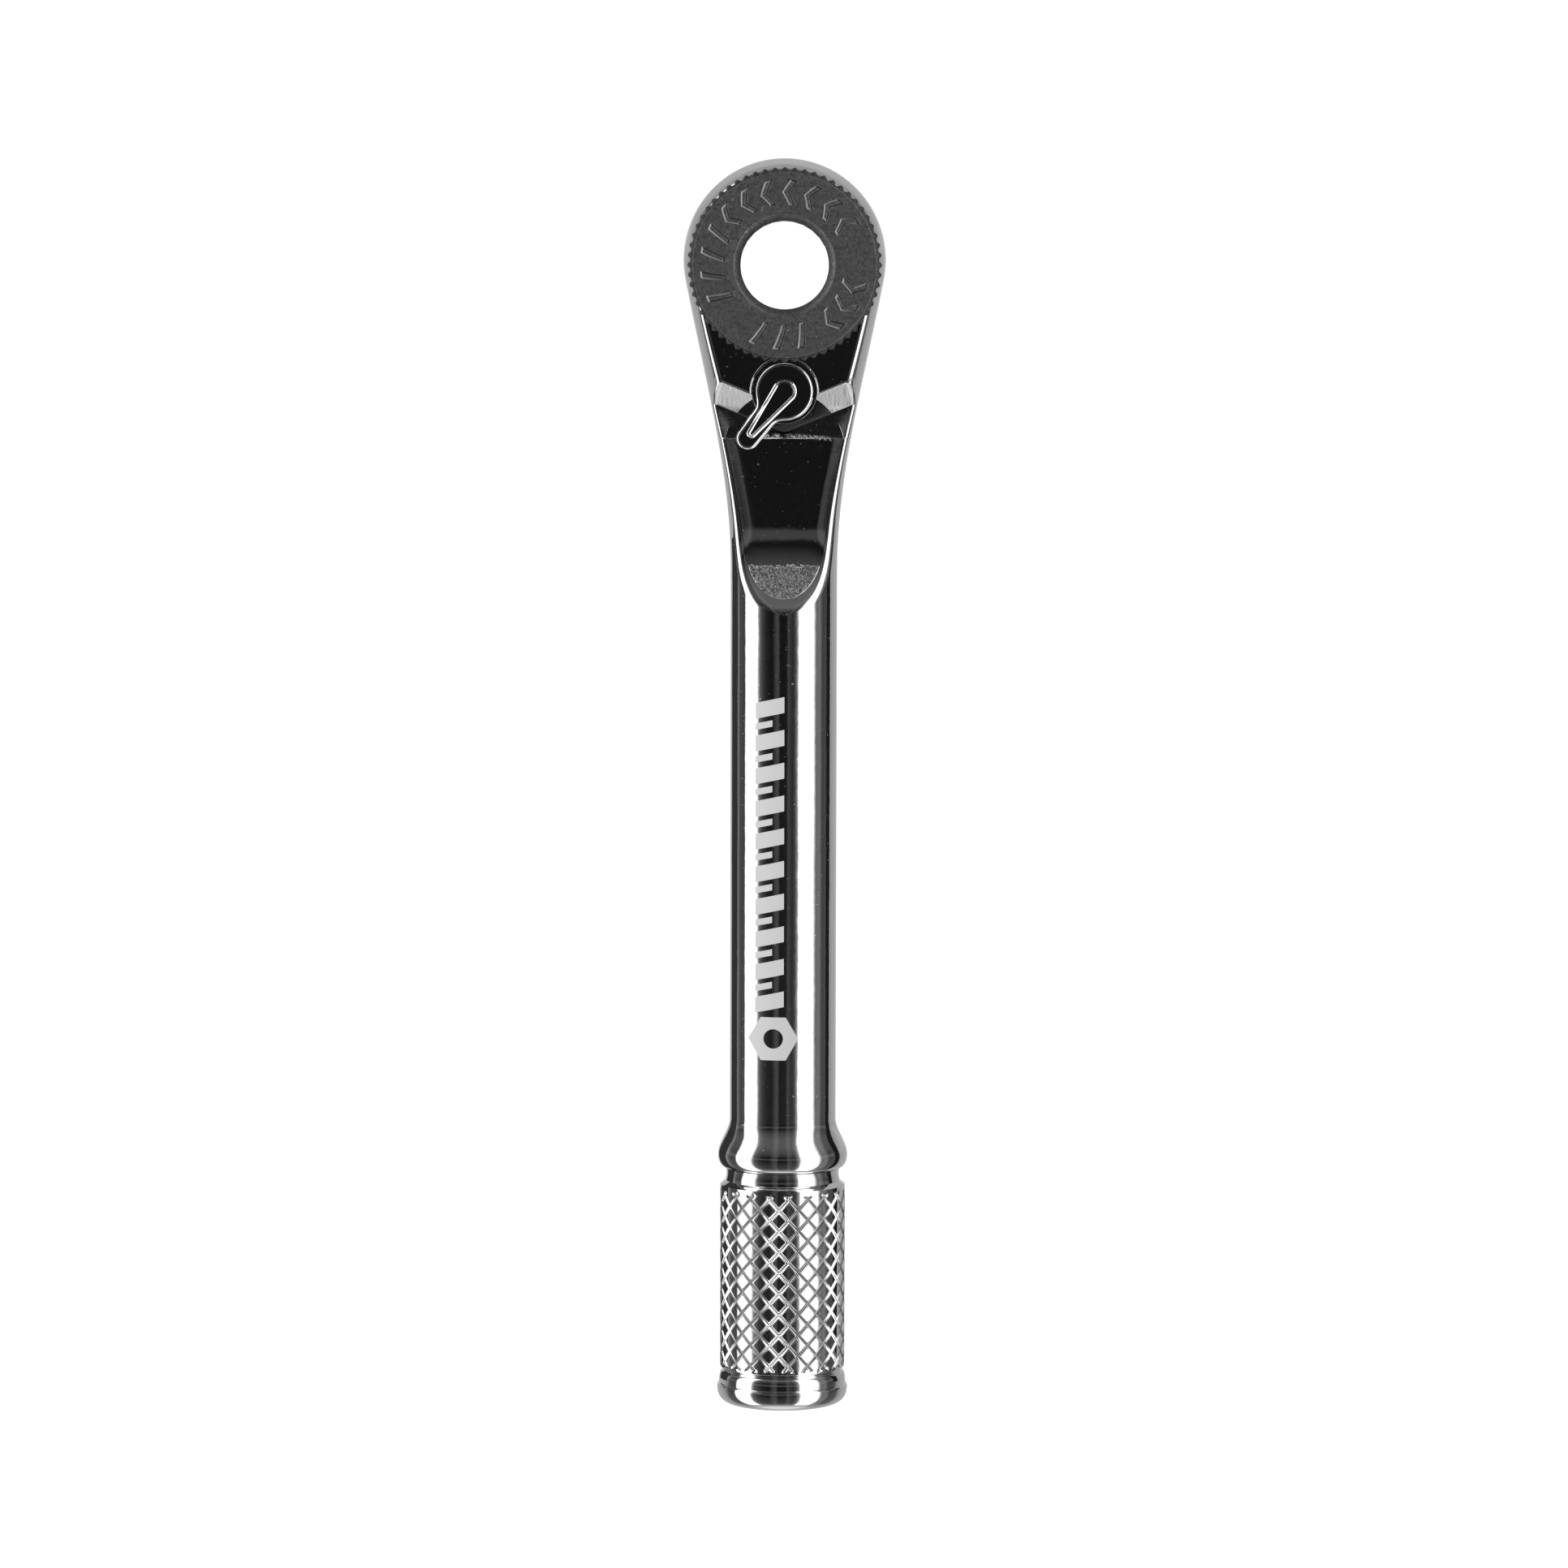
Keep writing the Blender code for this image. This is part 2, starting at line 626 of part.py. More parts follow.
def make_lever(finish):
    lever = new_object("reverse_lever", prism(lever_plan(), LEVER_BOTTOM, LEVER_TOP), finish)
    clip_r, seal_r = STEM_R - 0.3, STEM_R - 0.34
    stem = [
        (0, STEM_BOTTOM),
        (STEM_R, STEM_BOTTOM),
        (STEM_R, CLIP_BOTTOM - 0.03),
        (clip_r, CLIP_BOTTOM - 0.03),
        (clip_r, CLIP_TOP + 0.03),
        (STEM_R, CLIP_TOP + 0.03),
        (STEM_R, STEM_SEAL_BOTTOM),
        (seal_r, STEM_SEAL_BOTTOM),
        (seal_r, STEM_SEAL_TOP),
        (STEM_R, STEM_SEAL_TOP),
        (STEM_R, LEVER_BOTTOM + 0.4),
        (0, LEVER_BOTTOM + 0.4),
    ]
    boolean(lever, "stem", on_pivot(lathe(stem, 32)), "UNION")
    boolean(lever, "rib", prism(rib_plan(), LEVER_TOP - 0.3, RIB_TOP), "UNION")
    boolean(lever, "plunger_bore", plunger_rod(PLUNGER_R + 0.06, PLUNGER_BORE_END, STEM_R + 1))
    return lever


def along_plunger():
    """Turns +Z to the way the plunger points, opposite to the lever's arm, about the lever's pivot."""
    heading = Vector((sin(ARM_ANGLE), cos(ARM_ANGLE), 0))
    turn = Vector((0, 0, 1)).rotation_difference(heading).to_matrix().to_4x4()
    return Matrix.Translation((0, PIVOT_Y, 0)) @ turn


def plunger_rod(radius, start, end, round_tip=0.0):
    """A round rod along the plunger's line, with an optional rounded tip."""
    profile = [(0, start), (radius, start), (radius, end - round_tip)]
    if round_tip:
        for k in range(1, 4):
            turn = pi / 2 * k / 4
            profile.append((radius * cos(turn), end - round_tip + round_tip * sin(turn)))
    profile.append((0, end))
    bm = lathe(profile, 16)
    bmesh.ops.transform(bm, matrix=along_plunger(), verts=bm.verts)
    return bm


def make_plunger(finish):
    rod = plunger_rod(PLUNGER_R, PLUNGER_BACK, PLUNGER_TIP, 0.5)
    plunger = new_object("detent_plunger", rod, finish)
    hollow = plunger_rod(PLUNGER_HOLLOW_R, PLUNGER_BACK - 0.5, PLUNGER_HOLLOW_END)
    boolean(plunger, "hollow", hollow)
    return plunger


def make_spring(finish):
    """The plunger's coil spring, lying in the stem's cross bore and inside the hollow plunger."""
    loops = []
    steps = 9 * SPRING_TURNS
    for k in range(steps + 1):
        around = 2 * pi * SPRING_TURNS * k / steps
        out = Vector((cos(around), sin(around), 0))
        along = Vector((0, 0, 1))
        centre = SPRING_R * out + (SPRING_START + (SPRING_END - SPRING_START) * k / steps) * along
        sides = [2 * pi * s / 5 for s in range(5)]
        loops.append([centre + SPRING_WIRE * (cos(side) * out + sin(side) * along) for side in sides])
    bm = loops_mesh(loops)
    bmesh.ops.transform(bm, matrix=along_plunger(), verts=bm.verts)
    return new_object("plunger_spring", bm, finish)


def make_end_socket(finish):
    turns = [-radians(54), -radians(36), -radians(18)] + [radians(18 * k) for k in range(6)]
    bulge, fall = BEAD_R - END_R, BEAD_Y - END_Y
    bead = [(END_R + bulge * cos(turn), BEAD_Y - fall * sin(turn)) for turn in turns]
    profile = [(0, SHANK_END_Y), (SHANK_R - 0.3, SHANK_END_Y), (SHANK_R, SHANK_END_Y - 0.3)]
    profile += [(SHANK_R, BODY_END_Y - 0.06), (NECK_R, BODY_END_Y - 0.06), (NECK_R, NECK_END_Y)]
    profile += [(COLLAR_R, COLLAR_Y), (KNURL_R, KNURL_START_Y), (KNURL_R, KNURL_END_Y)]
    profile += [(WAIST_R, WAIST_Y)] + [point for point in bead if point[1] < WAIST_Y - 0.1]
    profile += [(0, END_Y)]
    socket = new_object("end_socket", lathe(profile, along_y=True), finish)
    boolean(socket, "hex_socket", prism(hex_outline(HEX_FLATS), SOCKET_END_Y, END_Y - 1, along_y=True))
    low, high = END_GROOVE_Y - BIT_GROOVE_HALF, END_GROOVE_Y + BIT_GROOVE_HALF
    boolean(socket, "ring_groove", prism(circle(BIT_GROOVE_R), low, high, along_y=True))
    seat = [(0, SOCKET_END_Y + MAGNET_LONG), (0, SOCKET_END_Y - 0.5)]
    seat += [(MAGNET_R + 0.03, SOCKET_END_Y - 0.5), (MAGNET_R + 0.03, SOCKET_END_Y + MAGNET_LONG)]
    boolean(socket, "magnet_seat", lathe(seat[::-1], 32, along_y=True))
    return socket


def make_magnet(finish):
    near, far = SOCKET_END_Y + 0.1, SOCKET_END_Y + MAGNET_LONG - 0.04
    profile = [(0, far), (MAGNET_R - 0.15, far), (MAGNET_R, far - 0.15)]
    profile += [(MAGNET_R, near + 0.15), (MAGNET_R - 0.15, near), (0, near)]
    return new_object("socket_magnet", lathe(profile, 36, along_y=True), finish)


def main():
    clear_scene()
    chrome = material("chrome", (0.80, 0.80, 0.81), 0.06, 1.0)
    sintered = material("dark_steel", (0.07, 0.07, 0.07), 0.55, 0.8)
    hardened = material("hardened_steel", (0.32, 0.32, 0.33), 0.35, 1.0)
    spring = material("spring_steel", (0.45, 0.45, 0.46), 0.30, 1.0)
    rubber = material("rubber", (0.02, 0.02, 0.02), 0.75, 0.0)
    nickel = material("nickel", (0.68, 0.66, 0.62), 0.22, 1.0)
    make_body(chrome)
    make_gear(hardened)
    make_thumb_ring(sintered)
    make_back_washer(hardened)
    make_wave_washer(spring)
    snap = (SNAP_IN_R, SNAP_OUT_R, SNAP_BOTTOM, SNAP_TOP)
    split_plate("gear_snap_ring", spring, *snap, gap=radians(30), centre_y=0, facing=pi / 2)
    seal_z = SEAL_SEAT_Z + SEAL_WIRE + 0.03
    wire_ring("gear_seal", rubber, SEAL_R, SEAL_WIRE, 0, (0, 0, seal_z), steps=30)
    wire_ring("gear_bit_ring", spring, BIT_RING_R, BIT_WIRE, radians(50), (0, 0, GEAR_GROOVE_Z))
    make_pawl(hardened)
    new_object("pawl_pin", prism(circle(PAWL_PIN_R, 20, (0, PAWL_PIN_Y)), -2.1, 2.1), hardened)
    make_lever(chrome)
    seal_z = (STEM_SEAL_TOP + STEM_SEAL_BOTTOM) / 2
    wire_ring("lever_seal", rubber, STEM_SEAL_R, STEM_SEAL_WIRE, 0, (0, PIVOT_Y, seal_z))
    clip = (CLIP_IN_R, CLIP_OUT_R, CLIP_BOTTOM, CLIP_TOP)
    split_plate("lever_clip", spring, *clip, gap=radians(60), centre_y=PIVOT_Y, facing=-pi / 2)
    make_plunger(hardened)
    make_spring(spring)
    make_end_socket(chrome)
    make_magnet(nickel)
    mouth = (0, END_GROOVE_Y, 0)
    wire_ring("socket_bit_ring", spring, BIT_RING_R, BIT_WIRE, radians(50), mouth, along_y=True)


main()
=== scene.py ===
"""Looks of the pocket ratchet wrench: fine surfaces, finishes, floor, studio light and camera.

Lengths in the shape code are in millimetres, in the CAD's frame: the origin is on the drive gear's axis,
+Z points out of the face with the thumb ring, and the handle runs along -Y.
"""
import json
from math import atan2, ceil, cos, floor, pi, radians, sin, sqrt, tan

import bmesh
import bpy
from mathutils import Matrix, Vector


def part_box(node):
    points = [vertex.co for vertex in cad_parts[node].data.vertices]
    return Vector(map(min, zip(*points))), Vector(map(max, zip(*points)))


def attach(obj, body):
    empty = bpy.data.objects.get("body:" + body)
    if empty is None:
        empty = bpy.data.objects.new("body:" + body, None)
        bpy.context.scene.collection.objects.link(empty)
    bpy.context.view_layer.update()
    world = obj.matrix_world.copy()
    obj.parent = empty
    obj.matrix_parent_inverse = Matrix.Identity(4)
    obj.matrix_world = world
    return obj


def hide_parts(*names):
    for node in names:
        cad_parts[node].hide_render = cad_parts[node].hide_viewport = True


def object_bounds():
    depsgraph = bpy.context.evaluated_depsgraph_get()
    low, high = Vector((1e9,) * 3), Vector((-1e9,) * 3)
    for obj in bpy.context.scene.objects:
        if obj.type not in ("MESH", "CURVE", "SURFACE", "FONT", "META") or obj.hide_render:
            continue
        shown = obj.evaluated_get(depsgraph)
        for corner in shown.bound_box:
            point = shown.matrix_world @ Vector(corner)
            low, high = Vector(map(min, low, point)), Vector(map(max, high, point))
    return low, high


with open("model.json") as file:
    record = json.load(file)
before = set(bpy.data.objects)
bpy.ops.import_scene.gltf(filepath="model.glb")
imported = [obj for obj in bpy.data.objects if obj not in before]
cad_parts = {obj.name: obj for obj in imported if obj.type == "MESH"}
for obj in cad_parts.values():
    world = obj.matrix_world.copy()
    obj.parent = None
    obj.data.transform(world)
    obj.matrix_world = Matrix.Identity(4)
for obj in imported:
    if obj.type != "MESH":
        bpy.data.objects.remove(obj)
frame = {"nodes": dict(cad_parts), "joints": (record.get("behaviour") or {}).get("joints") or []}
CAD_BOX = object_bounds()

MM = 0.001


def joint_place(name):
    found = next(joint for joint in frame["joints"] if joint["name"] == name)
    return Vector(found["pos_m"]) / MM


ORIGIN = joint_place("drive_spin")  # where this file's shapes have their origin


def box_mm(node):
    low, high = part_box(node)
    return low / MM - ORIGIN, high / MM - ORIGIN


RING_LOW, RING_HIGH = box_mm("thumb_ring")
BODY_LOW, BODY_HIGH = box_mm("body")
LEVER_LOW, LEVER_HIGH = box_mm("reverse_lever")
END_LOW, END_HIGH = box_mm("end_socket")
PIVOT_Y = (joint_place("lever_swing") - ORIGIN).y

# Forged body: plan outline
HEAD_R = BODY_HIGH.x
HEAD_Y = BODY_HIGH.y - HEAD_R
TANGENT_ANGLE = radians(100.8)  # where the neck leaves the head's circle, measured from the tip
HANDLE_R = 3.84
HANDLE_Y = -21.7
FLARE_Y = -61.5
FLARE_TOP_Y = -64.15
FLARE_R = 4.70
BODY_END_Y = BODY_LOW.y
BODY_END_R = 4.20

# Forged body: side walls and faces
WALL_DEPTH = 3.84
HEAD_TALL = 4.6
TIP_DROP = 0.42  # the wall is this much lower at the tip, which hides its top edge under the ring
HEAD_POWER = 2.6
HEAD_TOP = 3.30
HEAD_BOTTOM = -3.80
STEP_TOP_Y = -8.50
STEP_FOOT_Y = -10.0
STEP_TOP_SLANT = 0.42
STEP_FOOT_SLANT = 0.40
MILLED_FLOOR = 1.72
MILLED_END_Y = -12.45
NECK_FLOOR = 1.80
RAMP_Y = -18.4
RAMP_R = 10.1
BACK_STEP_Y = -11.9
BACK_FOOT_Y = -13.1
BACK_FLOOR = -2.60
BACK_RAMP_Y = -17.6
RAIL_FILLET = 0.28
RAMP_FILLET = 0.52
RAMP_BLEND = 0.35  # how softly the ramp runs out into the handle's round top
DISH_RISE = 0.12  # the neck's floor curls up this much towards each rail
DISH_WIDTH = 1.1

# Head: bores and pockets
BORE_R = 5.28
BORE_CHAMFER = 0.18
TOP_BORE_R = 4.60
SHOULDER_Z = 1.72
SNAP_GROOVE = (-3.58, -3.12, 5.62)  # bottom, top and radius
SEAL_SEAT = (2.70, 5.62)  # floor and radius
STEM_BORE_R = 1.55
SWEEP_R = 2.05
SWEEP_HALF = 0.72
POCKET_R = 2.33
POCKET_FLOOR = 1.62
POCKET_CHAMFER = 0.13
CLIP_SEAT = (-3.02, 2.15)  # floor and radius
CLEARING_Y = -13.2  # a round cutter clears the milled strip below the lever
CLEARING_R = 4.33
CLEARING_END_Y = -12.3
PAWL_POCKET_HALF = 1.55
PAWL_POCKET = ((3.75, -3.2), (3.75, -5.0), (3.15, -6.9), (1.75, -7.9))  # right half of its plan
END_SEAT_Y = -58.3
END_SEAT_R = 3.05

# Thumb ring
SERRATIONS = 60
RING_ROOT_R = 6.60
RING_FACE_R = 6.56
RING_FLANGE = 0.12  # the plain flange below the teeth reaches this far past their roots
LIP_R = 3.125
LIP_CHAMFER = 0.45
LIP_BOTTOM = 4.16
RING_SEAT_R = 4.32
MARK_R = 5.12  # the middle of the raised marks
MARK_HALF = 0.80
MARK_RISE = 0.14
MARK_REACH = 0.75  # the most a mark spans to each side
MARK_SLOPE = (-0.06, 0.10)  # a mark's edge falls from full height to the face between these
MARK_GROUPS = (  # middle and step in degrees clockwise from the tip, with the number of marks
    (3, 7, 17.5, "chevron"),
    (-91, 4, 17, "bar"),
    (183, 3, 17, "bar"),
    (124, 3, 16, "back"),
)
BAR_LEAN = 0.28
BAR_HALF = 0.15
CHEVRON_LEAN = 0.62
CHEVRON_SHIFT = 0.22
CHEVRON_HALF = 0.16

# Lever
ARM_ANGLE = radians(38)
LEVER_DISC_R = 2.10
LEVER_BOTTOM = 2.00
LEVER_TOP = 2.95
LEVER_EDGE = 0.26
ARM_LENGTH = 4.25
ARM_ROOT_R = 0.92
ARM_R = 0.82
ARM_BLEND = 0.5
RIB_LENGTH = 3.80
RIB_R = 0.88
RIB_TIP_R = 0.36
LEVER_STEPS = 520
STEM_R = 1.50
STEM_CHAMFER = 0.2
CLIP_GROOVE = (-3.37, -3.07, 0.3)  # bottom, top and depth
SEAL_GROOVE = (1.05, 1.62, 0.34)  # bottom, top and depth
PLUNGER_BORE = (0.66, -0.95, 2.5)  # radius, start and end along the plunger

# Knurled end
SHANK_R = 3.00
NECK_R = 4.15
NECK_END_Y = -66.0
NECK_HOLLOW = 0.07
COLLAR_R = 4.50
COLLAR_Y = -66.3
KNURL_R = 4.53
WAIST_R = 4.30
WAIST_Y = -79.9
WAIST_ROUND = 2.4  # exponent of the round from the waist up to the crease
CREASE_Y = -80.85
CREASE_R = 4.60
CREASE_HALF = 0.06
CREASE_DEPTH = 0.14
BAND_R = 4.69  # just past the crease
BEAD_R = END_HIGH.x
BEAD_Y = -81.1
BEAD_ROUND = 2.5  # exponent of the round from the bead in to the end face
END_R = 3.80
END_Y = END_LOW.y
KNURL_STARTS = 20
KNURL_PITCH = 1.518
KNURL_CROSSING_Y = -66.137  # two grooves cross here on the knurling's first line
KNURL_TURN = radians(3.3)  # that line stands this far round from straight up
KNURL_CELLS = 16  # grid cells in one repeat of the knurling
KNURL_DEPTH = 0.11
KNURL_GROOVE_HALF = 0.132
KNURL_START_Y = -66.5
KNURL_END_Y = -79.6
KNURL_FADE = 0.3
HEX_FLATS = 6.45
SOCKET_END_Y = -69.8
MAGNET_SEAT_R = 2.53
MAGNET_LONG = 3.0
BIT_GROOVE_R = 3.74
BIT_GROOVE = (-80.87, -80.33)
MOUTH_CHAMFER = 0.45
MOUTH_R = 3.3
AXIS_GAP = 0.001  # the skin's first and last circles, almost closed on the axis


# ---- mesh helpers


def finish_mesh(name, bm, material, sharp=30):
    """An object from a bmesh in millimetres, smooth except where faces meet at more than the sharp angle."""
    bmesh.ops.remove_doubles(bm, verts=bm.verts, dist=1e-5)
    bmesh.ops.dissolve_degenerate(bm, edges=bm.edges, dist=1e-6)
    bmesh.ops.recalc_face_normals(bm, faces=bm.faces)
    bmesh.ops.translate(bm, vec=ORIGIN, verts=bm.verts)
    bmesh.ops.scale(bm, vec=(MM, MM, MM), verts=bm.verts)
    mesh = bpy.data.meshes.new(name)
    bm.to_mesh(mesh)
    bm.free()
    mesh.materials.append(material)
    mesh.shade_smooth()
    mesh.set_sharp_from_angle(angle=radians(sharp))
    obj = bpy.data.objects.new(name, mesh)
    bpy.context.scene.collection.objects.link(obj)
    return obj


def loops_mesh(loops, close_ends=True):
    """Closed loops of points joined by quads, with a face over each end."""
    bm = bmesh.new()
    rows = [[bm.verts.new(point) for point in loop] for loop in loops]
    for first, second in zip(rows, rows[1:]):
        for i in range(len(first)):
            j = (i + 1) % len(first)
            bm.faces.new((first[i], first[j], second[j], second[i]))
    if close_ends:
        bm.faces.new(rows[0])
        bm.faces.new(reversed(rows[-1]))
    return bm


def lathe(profile, steps=96, along_y=False, centre_y=0.0):
    """A closed outline of (radius, height) points turned about Z, or about Y when along_y is set."""
    loops = []
    for k in range(steps):
        turn = 2 * pi * k / steps
        ring = []
        for radius, height in profile:
            across, up = radius * cos(turn), radius * sin(turn)
            ring.append((across, height, up) if along_y else (across, up + centre_y, height))
        loops.append(ring)
    loops.append(loops[0])
    return loops_mesh(loops, close_ends=False)


def prism(outline, low, high, along_y=False):
    if along_y:
        return loops_mesh([[(x, end, z) for x, z in outline] for end in (low, high)])
    return loops_mesh([[(x, y, low) for x, y in outline], [(x, y, high) for x, y in outline]])


def circle(radius, steps=96, centre=(0, 0)):
    turns = [2 * pi * k / steps for k in range(steps)]
    return [(centre[0] + radius * cos(turn), centre[1] + radius * sin(turn)) for turn in turns]


def combine(obj, shapes, operation, sharp=30):
    """Cuts the shapes from the object, or joins them to it, and shades the result again."""
    helpers = []
    for index, bm in enumerate(shapes):
        helper = finish_mesh(f"{obj.name}_helper_{index}", bm, obj.data.materials[0])
        step = obj.modifiers.new(helper.name, "BOOLEAN")
        step.operation = operation
        step.solver = "EXACT"
        step.object = helper
        helpers.append(helper)
    graph = bpy.context.evaluated_depsgraph_get()
    result = bpy.data.meshes.new_from_object(obj.evaluated_get(graph))
    obj.modifiers.clear()
    obj.data = result
    for helper in helpers:
        bpy.data.objects.remove(helper, do_unlink=True)
    result.shade_smooth()
    result.set_sharp_from_angle(angle=radians(sharp))


def dress(obj, body, node):
    """Makes the object the visible shape of a CAD node."""
    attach(obj, body)
    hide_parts(node)


def smooth(low, high, value):
    """0 below low and 1 above high, with a soft run between them."""
    t = min(1, max(0, (value - low) / (high - low)))
    return t * t * (3 - 2 * t)


def soft_min(a, b, width):
    """The smaller of two values, rounded off where they are within width of each other."""
    near = max(0, width - abs(a - b)) / width
    return min(a, b) - near * near * width / 4


def blunt(value, corner, half, before, after):
    """Rounds a corner between two straight slopes over the given half width."""
    if abs(value - corner) >= half:
        return (before if value > corner else after) * (value - corner)
    t = (value - corner + half) / (2 * half)
    return half * (-after * (1 - t) ** 2 + before * t**2)


# ---- forged body


def neck_width(y):
    """Half width of the neck and its slope along Y: a cubic from the head's circle to the handle."""
    start_x = HEAD_R * sin(TANGENT_ANGLE)
    start_y = HEAD_Y + HEAD_R * cos(TANGENT_ANGLE)
    length = start_y - HANDLE_Y
    slope = tan(TANGENT_ANGLE - pi / 2)
    t = min(1, (start_y - y) / length)
    width = (
        (2 * t**3 - 3 * t**2 + 1) * start_x
        - (t**3 - 2 * t**2 + t) * length * slope
        + (3 * t**2 - 2 * t**3) * HANDLE_R
    )
    rate = (3 * t**2 - 4 * t + 1) * slope - (6 * t**2 - 6 * t) * (start_x - HANDLE_R) / length
    return width, rate


def flare_radius(y):
    if y >= FLARE_TOP_Y:
        return HANDLE_R + (FLARE_R - HANDLE_R) * smooth(FLARE_Y, FLARE_TOP_Y, y)
    t = (FLARE_TOP_Y - y) / (FLARE_TOP_Y - BODY_END_Y)
    return BODY_END_R + (FLARE_R - BODY_END_R) * sqrt(max(0, 1 - t * t))


def ramp(y, start, low):
    """Height of a floor that curves up, as a round cutter leaves it."""
    run = min(max(0, start - y), RAMP_R)
    return low + RAMP_R - sqrt(RAMP_R**2 - run**2)


def top_height(y):
    """Height of the top face: the head's flat, the step down, the milled strip, the neck and its ramp."""
    fall = (HEAD_TOP - MILLED_FLOOR) / (STEP_TOP_Y - STEP_FOOT_Y)
    if y >= (STEP_TOP_Y + STEP_FOOT_Y) / 2:
        return HEAD_TOP + blunt(y, STEP_TOP_Y, 0.10, 0, fall)
    if y >= MILLED_END_Y + 0.5:
        return MILLED_FLOOR + blunt(y, STEP_FOOT_Y, 0.08, fall, 0)
    rise = smooth(MILLED_END_Y + 0.12, MILLED_END_Y, y)
    return ramp(y, RAMP_Y, MILLED_FLOOR + (NECK_FLOOR - MILLED_FLOOR) * rise)


def back_height(y):
    fall = (HEAD_BOTTOM - BACK_FLOOR) / (BACK_STEP_Y - BACK_FOOT_Y)
    if y >= (BACK_STEP_Y + BACK_FOOT_Y) / 2:
        return HEAD_BOTTOM + blunt(y, BACK_STEP_Y, 0.15, 0, fall)
    if y >= BACK_RAMP_Y:
        return BACK_FLOOR + blunt(y, BACK_FOOT_Y, 0.15, fall, 0)
    return -ramp(y, BACK_RAMP_Y, -BACK_FLOOR)


def top_slant(y):
    """How steeply a line across the top face drops towards the handle between rail and middle."""
    if y >= STEP_TOP_Y:
        return STEP_TOP_SLANT * smooth(0, STEP_TOP_Y, y)
    if y >= STEP_FOOT_Y:
        share = (STEP_TOP_Y - y) / (STEP_TOP_Y - STEP_FOOT_Y)
        return STEP_TOP_SLANT + (STEP_FOOT_SLANT - STEP_TOP_SLANT) * share
    return STEP_FOOT_SLANT * (1 - smooth(STEP_FOOT_Y, MILLED_END_Y + 0.2, y))


def side_profile(depth, tall, power, top, bottom, room, soft, wall_steps=44, fillet_steps=6):
    """The side wall from the top face round to the bottom face, as (distance in, height) points."""

    def at(angle):
        reach = (abs(cos(angle) / depth) ** power + abs(sin(angle) / tall) ** power) ** (-1 / power)
        return Vector((depth - reach * cos(angle), reach * sin(angle)))

    def rail_angle(height):
        if height >= tall:
            return pi / 2
        return atan2(height, depth * (1 - (height / tall) ** power) ** (1 / power))

    def rounded(angle, sign):
        corner = at(angle * sign)
        fillet = min(soft, 0.4 * max(0, room - corner.x))
        before = at((angle - fillet / tall) * sign)
        after = corner + Vector((fillet, 0))
        points = []
        for k in range(fillet_steps + 1):
            t = k / fillet_steps
            points.append((1 - t) ** 2 * after + 2 * t * (1 - t) * corner + t**2 * before)
        return points, (angle - fillet / tall) * sign

    upper, start = rounded(rail_angle(top), 1)
    lower, end = rounded(rail_angle(-bottom), -1)
    wall = [at(start + (end - start) * k / wall_steps) for k in range(1, wall_steps)]
    return upper + wall + lower[::-1]


ACROSS = (0, 0.15, 0.3, 0.45, 0.6, 0.7, 0.78, 0.84, 0.89, 0.93, 0.96, 0.985)


def body_loop(y, place, inward):
    """A closed loop of the body's skin: across the top, down one side, across the bottom and up again."""
    blend = smooth(-2, HANDLE_Y, y)
    if y < FLARE_Y:
        depth = tall = flare_radius(y)
        power = 2
    else:
        depth = WALL_DEPTH + (HANDLE_R - WALL_DEPTH) * blend
        tall = HEAD_TALL + (HANDLE_R - HEAD_TALL) * blend
        power = HEAD_POWER + (2 - HEAD_POWER) * blend
    tall -= TIP_DROP * max(0, y) / HEAD_R
    top, bottom = soft_min(top_height(y), tall, RAMP_BLEND), max(back_height(y), -tall)
    soft = RAIL_FILLET + (RAMP_FILLET - RAIL_FILLET) * smooth(MILLED_END_Y, RAMP_Y - 4, y)
    dish = DISH_RISE * smooth(STEP_FOOT_Y, MILLED_END_Y, y) * (1 - smooth(RAMP_Y, RAMP_Y - 3, y))
    room = place.x / max(1e-6, -inward.x)
    side = side_profile(depth, tall, power, top + dish, bottom, room, soft)
    right = [(max(0, place.x + inward.x * u), place.y + inward.y * u, z) for u, z in side]

    def across(rail, tilt, rise):
        """Points from the middle line out to a rail, with the floor lower by rise away from the rail."""
        line = []
        for share in ACROSS:
            x = rail[0] * share
            near = max(0, 1 - (rail[0] - x) / DISH_WIDTH)
            line.append((x, rail[1] - tilt * (rail[0] - x), rail[2] - rise * (1 - near**2)))
        return line

    half = across(right[0], top_slant(y), dish) + right + across(right[-1], 0, 0)[::-1]
    left = [(-x, y_at, z) for x, y_at, z in half[1:-1]]
    return half + left[::-1]


def spaced(start, end, gap):
    """Places after start up to and including end, at most a gap apart."""
    count = max(1, ceil(abs(start - end) / gap))
    return [start + (end - start) * k / count for k in range(1, count + 1)]


